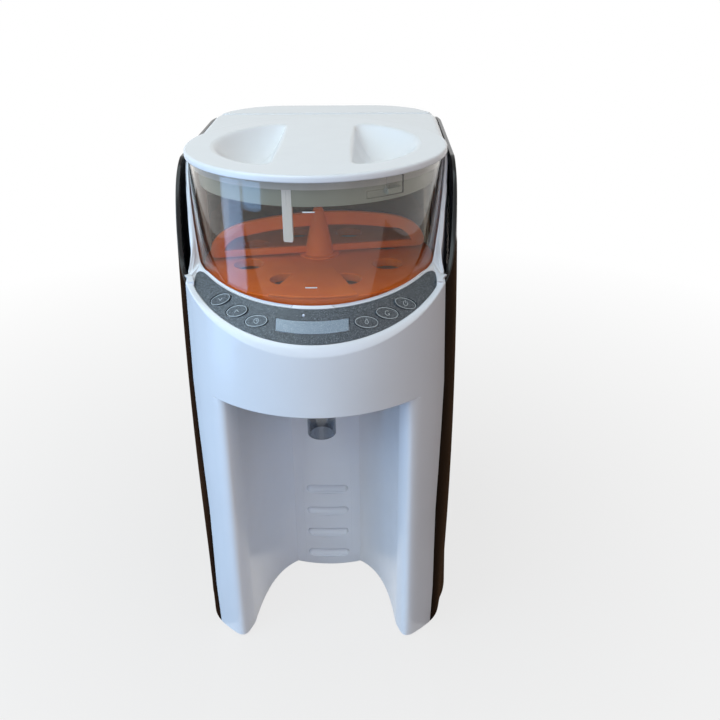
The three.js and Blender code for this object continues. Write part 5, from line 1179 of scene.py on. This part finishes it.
def makeDisplay():
    depth = panel["thickness"]
    piece = addStrip("displayGlass", panel["windowAngle"], panel["windowShares"], 0.0, -depth, 0.0)
    roundEdges(piece, panel["glassEdge"], lambda middle: True, turn=0.9, segments=2)
    finishPiece(piece, "lcd_window", smooth=30, swollen=True)
    place = keyPlace(panel["ledAngle"], panel["ledShare"])
    sections = [[place(x, y, lift * mm) for x, y in circlePoints(panel["ledRadius"] * size, 24)]
                for size, lift in panel["lampRings"]]
    finishPiece(addTube("lamp", sections), "status_led", smooth=50)


# Orange stirrer: tall cone on the hub and two looped blades
stirrer = {"lowZ": 312.6 * mm, "hub": 15 * mm, "hubHeight": 1.2 * mm, "cone": 10.8 * mm, "height": 37.4 * mm,
           "armAngles": (10, 190), "armLowZ": 314.5 * mm, "bar": 5.5 * mm, "band": 10.5 * mm,
           "loop": 31.5 * mm, "fall": 5 * mm, "reach": 83 * mm, "bend": 55 * mm, "thickness": 4 * mm,
           "round": 1.1 * mm, "start": 2 * mm,
           "coneShape": ((0.97, 0.15, 3), (0.78, 0.41, 5), (0.46, 0.84, 5), (0.3, 1, 3))}


def bladeEdges():
    low, reach, bar, band = stirrer["armLowZ"], stirrer["reach"], stirrer["bar"], stirrer["band"]
    top, start, bendX = low + stirrer["loop"], stirrer["start"], stirrer["bend"]
    bendTop = top - stirrer["fall"]
    outer = [Vector((x, low)) for x in steps(start, reach - bar, 10)]
    inside = [Vector((x, low + bar)) for x in steps(start, reach - 2 * bar, 10)]
    outer += curve(Vector((reach - bar, low)), Vector((reach, low)), Vector((reach, low + bar)), 6)[1:]
    inside += [inside[-1] + Vector((0.03 * mm * i, 0.06 * mm * i)) for i in range(1, 7)]
    bulge = Vector((reach - bar / 2, bendTop - band / 2))
    outer += curve(Vector((reach, low + bar)), bulge, Vector((bendX, bendTop)), 14)[1:]
    hollow = Vector((reach - 3 * bar, bendTop - band))
    inside += curve(inside[-1], hollow, Vector((bendX, bendTop - band)), 14)[1:]
    for line, drop in ((outer, 0), (inside, band)):
        crown, end = Vector((bendX / 2, top - drop)), Vector((start, top - drop))
        line += curve(Vector((bendX, bendTop - drop)), crown, end, 12)[1:]
    return list(zip(outer, inside))


def bladeSection(outer, inside, angle):
    turn = math.radians(angle)
    ahead = Vector((math.cos(turn), math.sin(turn), 0))
    aside = Vector((-ahead.y, ahead.x, 0))
    middle, half = (outer + inside) / 2, (outer - inside) / 2
    thick, soft = stirrer["thickness"] / 2, min(stirrer["round"], half.length * 0.6)
    points = []
    for corner, (signU, signV) in enumerate(((1, 1), (-1, 1), (-1, -1), (1, -1))):
        for turnStep in steps(0, 90, 3):
            around = math.radians(turnStep + 90 * corner)
            u = signU * (half.length - soft) + soft * math.cos(around)
            v = signV * (thick - soft) + soft * math.sin(around)
            flat = middle + half.normalized() * u
            points.append(Vector((0, bowlY, flat.y)) + ahead * flat.x + aside * v)
    return points


def makeStirringWheel():
    low, high, cone = stirrer["lowZ"], stirrer["height"], stirrer["cone"]
    shape = [(cone * wide, low + high * rise, bend * mm) for wide, rise, bend in stirrer["coneShape"]]
    piece = addTurned("cone", [
        (0, low, 0), (stirrer["hub"], low, 0.2 * mm), (stirrer["hub"], low + stirrer["hubHeight"], 0.5 * mm),
        (cone, low + stirrer["hubHeight"], 1 * mm), *shape, (0, low + high, 0)], (0, bowlY), 64, 5)
    for angle in stirrer["armAngles"]:
        sections = [bladeSection(outer, inside, angle) for outer, inside in bladeEdges()]
        combine(piece, addTube("blade", sections), "UNION")
    finishPiece(piece, "stirring_wheel")


# Dosing wheel with its round pockets, and the wiper plate over the outlet
wheel = {"lowZ": 306.3 * mm, "highZ": 312.3 * mm, "radius": 88.4 * mm, "hub": 8.3 * mm, "pocket": 11 * mm,
         "reach": 56 * mm, "pockets": 8, "wiper": (34 * mm, 89.4 * mm), "wiperZ": (312.6 * mm, 314.2 * mm),
         "wiperHalf": 20, "wiperEdge": 0.5 * mm, "edge": 0.8 * mm, "overrun": 1 * mm}


def makeDosingWheel():
    low, high = wheel["lowZ"], wheel["highZ"]
    middle, radius, hub = (low + high) / 2, wheel["radius"], wheel["hub"]
    piece = addTurned("disc", [
        (hub, middle, 0), (hub, low, 0.4 * mm), (radius, low, 0.8 * mm), (radius, high, 1.2 * mm),
        (hub, high, 0.4 * mm), (hub, middle, 0)], (0, bowlY), 128)
    pocket, edge, over = wheel["pocket"], wheel["edge"], wheel["overrun"]
    shape = [(0, low - over, 0), (pocket, low - over, 0), (pocket, high, edge), (pocket + edge, high, 0),
             (pocket + edge, high + over, 0), (0, high + over, 0)]
    pockets = []
    for i in range(wheel["pockets"]):
        turn = 2 * math.pi * (i + 0.5) / wheel["pockets"]
        centre = (wheel["reach"] * math.cos(turn), bowlY + wheel["reach"] * math.sin(turn))
        pockets.append(addTurned("pocket", shape, centre, 40))
    combine(piece, joinPieces(*pockets))
    finishPiece(piece, "dosing_wheel")
    half = wheel["wiperHalf"]
    wiper = addArcBar("wiper", bowlY, wheel["wiper"], (-half, half), wheel["wiperZ"], wheel["wiperEdge"], 20)
    finishPiece(wiper, "wiper_plate")


# Drawer funnel under the head: spout, cone, flange with two ears and a front pull, and its cover ring
funnel = {"spout": 11.4 * mm, "lowZ": 174.5 * mm, "spoutZ": 190 * mm, "coneZ": 222 * mm, "mouth": 32 * mm,
          "flange": 36 * mm, "topZ": 225.3 * mm, "wall": 2 * mm, "earHalf": 41 * mm,
          "earLength": 20 * mm, "pullHalf": 13 * mm, "pullReach": 45 * mm, "coverWidth": 7 * mm,
          "coverHeight": 3 * mm, "over": 5 * mm, "earEdge": 0.8 * mm, "pullEdge": 1.2 * mm}
funnelLow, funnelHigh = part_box("funnel_cover")
funnelY = (funnelLow.y + funnelHigh.y) / 2


def addPlate(name, halfX, fromY, toY, lowZ, highZ, edge):
    plate = addBlock(name, halfX, fromY, toY, lowZ, highZ)
    bevelSharp(plate, edge, 4)
    return plate


def makeMixingFunnel():
    low, high, wallSize, mouth = funnel["lowZ"], funnel["topZ"], funnel["wall"], funnel["mouth"]
    spout, spoutZ, under, flange = funnel["spout"], funnel["spoutZ"], funnel["coneZ"], funnel["flange"]
    middle, throat = (under + high) / 2, mouth - wallSize
    piece = addTurned("funnelBody", [
        (throat, middle, 0), (throat, under, 2 * mm), (spout - wallSize, spoutZ, 3 * mm),
        (spout - wallSize, low, 0.8 * mm), (spout, low, 0.9 * mm), (spout, spoutZ, 3 * mm),
        (mouth, under, 2 * mm), (flange, under, 0.5 * mm), (flange, high, 0.8 * mm),
        (throat, high, 0.6 * mm), (throat, middle, 0)], (0, funnelY), 96)
    near, far = funnelY - funnel["earLength"], funnelY + funnel["earLength"]
    ears = addPlate("ears", funnel["earHalf"], near, far, under, high, funnel["earEdge"])
    front = funnelY - funnel["pullReach"]
    pull = addPlate("pull", funnel["pullHalf"], front, funnelY - mouth, under, high, funnel["pullEdge"])
    combine(ears, pull, "UNION")
    combine(ears, addRod("room", mouth - wallSize / 2, low, high + funnel["over"], (0, funnelY), 96))
    combine(piece, ears, "UNION")
    finishPiece(piece, "mixing_funnel")
    base, height, inner = high + body["gap"], funnel["coverHeight"], flange - funnel["coverWidth"]
    ring = addTurned("coverRing", [
        (inner, base + height / 2, 0), (inner, base, 0.3 * mm), (flange, base, 0.3 * mm),
        (flange, base + height / 2, 0.6 * mm), (flange - height / 2, base + height, 0.6 * mm),
        (inner, base + height, 0.5 * mm), (inner, base + height / 2, 0)], (0, funnelY), 96)
    finishPiece(ring, "funnel_cover")


# Smoke water tank that carries on the body's rear corners, and its white lid
tank = {"front": 109.3 * mm, "lowZ": 112.3 * mm, "floor": 3 * mm, "wall": 2.6 * mm, "topZ": 385 * mm,
        "corner": 4 * mm, "bottomRound": 2 * mm, "spigot": 9 * mm, "spigotBore": 6.5 * mm,
        "spigotLowZ": 102 * mm, "valveY": 131 * mm, "lidZ": 385.3 * mm, "lidInset": 2.8 * mm,
        "lidRound": 3 * mm, "lidEdge": 0.4 * mm, "skirtDrop": 10 * mm, "skirtWall": 2.6 * mm,
        "skirtRise": 1 * mm, "rim": 0.8 * mm, "boreZ": (90 * mm, 130 * mm)}


# Plan of the tank or its lid, drawn in from the body's rear and from the tank's front
def rearOutline(z, inset, frontInset):
    half, frontY, corner = halfWidthAt(z), tank["front"] + frontInset, tank["corner"]
    radius = body["rearCorner"] - inset
    centreX, centreY = half - body["rearCorner"], bodyDepth / 2 - body["rearCorner"]
    start = math.asin((frontY - centreY) / radius)
    arc = [Vector((centreX + radius * math.cos(turn), centreY + radius * math.sin(turn), z))
           for turn in steps(start, math.pi / 2, 18)]
    back = [Vector((x, bodyDepth / 2 - inset, z)) for x in steps(centreX, -centreX, 8)[1:-1]]
    front = [Vector((x, frontY, z)) for x in steps(-arc[0].x + 2 * corner, arc[0].x - 2 * corner, 8)]
    left = list(reversed(mirrored(arc)))
    leftBend = curve(left[-2], left[-1], front[0], 5)[1:-1]
    rightBend = curve(front[-1], arc[0], arc[1], 5)[1:-1]
    return arc[1:] + back + left[:-1] + leftBend + front + rightBend


def makeWaterTank():
    low, high, wallSize, bend, rim = tank["lowZ"], tank["topZ"], tank["wall"], tank["bottomRound"], tank["rim"]
    rows = [(low + bend * (1 - math.sin(turn)), bend * (1 - math.cos(turn)))
            for turn in steps(math.pi / 2, 0, 4)]
    rows += [(z, 0) for z in steps(low + bend, high - rim, 6)[1:]]
    rows += [(high - rim * (1 - math.sin(turn)), wallSize / 2 * (1 - math.cos(turn)))
             for turn in steps(0, math.pi, 6)[1:]]
    rows += [(z, wallSize) for z in (high / 2, low + tank["floor"])]
    piece = addTube("tankBody", [rearOutline(z, inset, inset) for z, inset in rows])
    centre = (0, tank["valveY"])
    top = low + tank["floor"] / 2
    combine(piece, addRod("tube", tank["spigot"], tank["spigotLowZ"], top, centre), "UNION")
    combine(piece, addRod("bore", tank["spigotBore"], *tank["boreZ"], centre))
    finishPiece(piece, "water_tank", swollen=True)


def makeTankLid():
    low, edge, inset = tank["lidZ"], tank["lidEdge"], tank["lidInset"]
    rows = [(low, edge), (low + edge, 0)] + overEdge(body["height"], tank["lidRound"])
    plate = addTube("plate", [rearOutline(z, inset + more, more) for z, more in rows])
    outer = tank["wall"] + body["gap"]
    inner, top, bottom = outer + tank["skirtWall"], low + tank["skirtRise"], low - tank["skirtDrop"]
    rows = [(top, outer), (bottom, outer), (bottom, inner), (top, inner)]
    combine(plate, addTube("skirt", [rearOutline(z, inset, inset) for z, inset in rows]), "UNION")
    finishPiece(plate, "tank_lid", swollen=True)


foot = {"radius": 7.7 * mm, "height": 5.7 * mm, "edge": 1.2 * mm, "topEdge": 0.5 * mm}


def makeFeet():
    radius, height = foot["radius"], foot["height"]
    for place in ("front_left", "front_right", "rear_left", "rear_right"):
        low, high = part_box(f"foot_{place}")
        corners = [(0, 0, 0), (radius, 0, foot["edge"]), (radius, height, foot["topEdge"]), (0, height, 0)]
        piece = addTurned("pad", corners, ((low.x + high.x) / 2, (low.y + high.y) / 2), 48, 5)
        finishPiece(piece, f"foot_{place}")


gland = {"bore": 3.4 * mm, "neck": 6.2 * mm, "flange": 9 * mm, "flangeDepth": 2 * mm, "depth": 9 * mm,
         "wall": 3.3 * mm, "start": 2 * mm, "fillet": 0.5 * mm}


def makeCordGland():
    low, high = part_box("cord_gland")
    bore, neck, flange, fillet = gland["bore"], gland["neck"], gland["flange"], gland["fillet"]
    start, wall, depth = -gland["start"], -gland["wall"], -gland["depth"]
    inside = wall - gland["flangeDepth"]
    piece = addTurned("glandBody", [
        (bore, start, 0), (bore, 0, 0.6 * mm), (neck, 0, 1 * mm), (neck, wall, 0), (flange, wall, fillet),
        (flange, inside, fillet), (neck, inside, 0), (neck, depth, fillet), (bore, depth, 0.4 * mm),
        (bore, start, 0)], (0, 0), 48)
    pick(piece)
    bpy.ops.transform.rotate(value=math.radians(90), orient_axis="X", center_override=(0, 0, 0))
    bpy.ops.transform.translate(value=((low.x + high.x) / 2, high.y, (low.z + high.z) / 2))
    finishPiece(piece, "cord_gland")


for makePiece in (makeFrontShell, makeStandRack, makeRearHousing, makeTopDeck, makePowderLid,
                  makePowderContainer, makeLevelMarks, makeControlPanel, makeKeys, makeDisplay,
                  makeStirringWheel, makeDosingWheel, makeMixingFunnel, makeWaterTank, makeTankLid, makeFeet,
                  makeCordGland):
    makePiece()

# The photograph's camera, worked out from its picture of the lid, lip, slots and legs
photoCamera = {"place": (39.62 * mm, -644.07 * mm, 529.66 * mm), "pitchDown": 0.4745, "turn": -0.01497,
               "roll": -0.00792, "focalPixels": 823.22, "imagePixels": 720, "sensor": 36.0}


def addCamera():
    pitch, turn, roll = photoCamera["pitchDown"], photoCamera["turn"], photoCamera["roll"]
    ahead = Vector((math.sin(turn) * math.cos(pitch), math.cos(turn) * math.cos(pitch), -math.sin(pitch)))
    right = Vector((math.cos(turn), -math.sin(turn), 0.0))
    up = right.cross(ahead)
    right, up = (right * math.cos(roll) + up * math.sin(roll), up * math.cos(roll) - right * math.sin(roll))
    bpy.ops.object.camera_add(location=photoCamera["place"])
    camera = bpy.context.object
    camera.name = "photoCamera"
    turned = Matrix((right, up, -ahead)).transposed()
    camera.matrix_world = Matrix.Translation(photoCamera["place"]) @ turned.to_4x4()
    camera.data.sensor_width = photoCamera["sensor"]
    camera.data.lens = photoCamera["focalPixels"] / photoCamera["imagePixels"] * photoCamera["sensor"]
    camera.data.dof.use_dof = False
    bpy.context.scene.camera = camera


# Soft studio: a broad cool key from the upper left, blue strips beside it and a weak warm fill from the right.
# Each lamp has its name, place, the height it aims at, its size, watts and tint
lamps = [
    ("keyLamp", (-0.75, -0.7, 1.7), 0.2, (1.8, 1.8), 30, "#D6E9EE"),
    ("leftStrip", (-1.0, -0.75, 0.45), 0.2, (0.4, 1.0), 4.5, "#8CC4FF"),
    ("lowStrip", (-0.62, -0.22, 0.15), 0.3, (0.25, 0.3), 0.8, "#9CC8FF"),
    ("frontFill", (0.2, -1.7, 0.8), 0.2, (1.2, 0.8), 5, "#B9C8F2"),
    ("rightFill", (1.2, -0.9, 0.9), 0.2, (1.2, 1.2), 2, "#FFCE9C"),
]


def addLamps():
    for name, place, aimZ, size, power, tint in lamps:
        bpy.ops.object.light_add(type="AREA", location=place)
        light = bpy.context.object
        light.name = name
        light.data.shape = "RECTANGLE"
        light.data.size, light.data.size_y = size
        light.data.energy = power
        light.data.color = linear(tint)[:3]
        aim = Vector((0, 0, aimZ)) - Vector(place)
        light.rotation_euler = aim.to_track_quat("-Z", "Y").to_euler()


# One for rays that come from the camera, a mirror or a clear wall, which see the white backdrop
def addBackdropShare(tree):
    path = addNode(tree, "LightPath")
    share = path.outputs["Is Camera Ray"]
    for ray in ("Is Glossy Ray", "Is Transmission Ray"):
        share = addNode(tree, "Math", {"operation": "MAXIMUM"}, {0: share, 1: path.outputs[ray]})
    return share


white = (1.0, 1.0, 1.0, 1.0)
studio = {"level": 0.22, "tint": "#FFF9F2"}


def addWorld():
    world = bpy.data.worlds.new("studio")
    bpy.context.scene.world = world
    world.use_nodes = True
    tree = world.node_tree
    tree.nodes.clear()
    room = addNode(tree, "Background", {"Color": linear(studio["tint"]), "Strength": studio["level"]})
    backdrop = addNode(tree, "Background", {"Color": white, "Strength": 1.0})
    mixed = addNode(tree, "MixShader", links={"Fac": addBackdropShare(tree), 1: room, 2: backdrop})
    addNode(tree, "OutputWorld", links={"Surface": mixed})


# Pale sweep: it glows white to the camera, wholly so far from the object, and keeps a soft shadow near it
sweep = {"size": 12.0, "z": -0.2 * mm, "colour": "#979492", "roughness": 0.7, "shadowShare": 0.22,
         "shadowReach": (0.15, 0.9)}


def sweepPaint(tree, place):
    paint = addNode(tree, "BsdfPrincipled",
                    {"Base Color": linear(sweep["colour"]), "Roughness": sweep["roughness"]})
    glow = addNode(tree, "Emission", {"Color": white, "Strength": 1.0})
    reach = addNode(tree, "VectorMath", {"operation": "LENGTH"}, {0: place}).outputs["Value"]
    start, end = sweep["shadowReach"]
    near = addNode(tree, "MapRange", {"From Min": start, "From Max": end, "To Min": 1 - sweep["shadowShare"],
                                      "To Max": 1.0}, {"Value": reach})
    factor = addNode(tree, "Math", {"operation": "MULTIPLY"}, {0: addBackdropShare(tree), 1: near})
    return addNode(tree, "MixShader", links={"Fac": factor, 1: paint, 2: glow})


def addFloor():
    bpy.ops.mesh.primitive_plane_add(size=sweep["size"], location=(0, 0, sweep["z"]))
    floor = bpy.context.object
    floor.name = "floor"
    floor.data.materials.append(makeMaterial("paleFloor", sweepPaint))


# Brown table-top cards low beside the object, seen only in gloss, as a dark room is seen in black plastic
cards = {"colour": "#3A2A1E", "pale": "#4A3728", "x": (0.088, 1.1), "y": (-0.6, 0.9), "z": 1 * mm}


def cardBoard(tree, place):
    weave = addNode(tree, "TexNoise", {"Scale": 8.0}, {"Vector": place})
    stops = [(0.3, cards["colour"]), (0.7, cards["pale"])]
    tint = addNode(tree, "ValToRGB", links={"Fac": weave}, stops=stops)
    return addNode(tree, "Emission", {"Strength": 1.0}, {"Color": tint})


def addCards():
    (low, high), (near, far) = cards["x"], cards["y"]
    for side in (-1, 1):
        place = (side * (low + high) / 2, (near + far) / 2, cards["z"])
        bpy.ops.mesh.primitive_plane_add(size=1, location=place)
        card = bpy.context.object
        card.name = "tableCard"
        card.scale = (high - low, far - near, 1)
        card.data.materials.append(makeMaterial("brownCard", cardBoard))
        for ray in ("camera", "diffuse", "transmission", "shadow", "volume_scatter"):
            setattr(card, "visible_" + ray, False)


addCamera()
addLamps()
addWorld()
addFloor()
addCards()
bpy.context.scene.view_settings.view_transform = "Standard"
print("camera, lamps and floor in place")
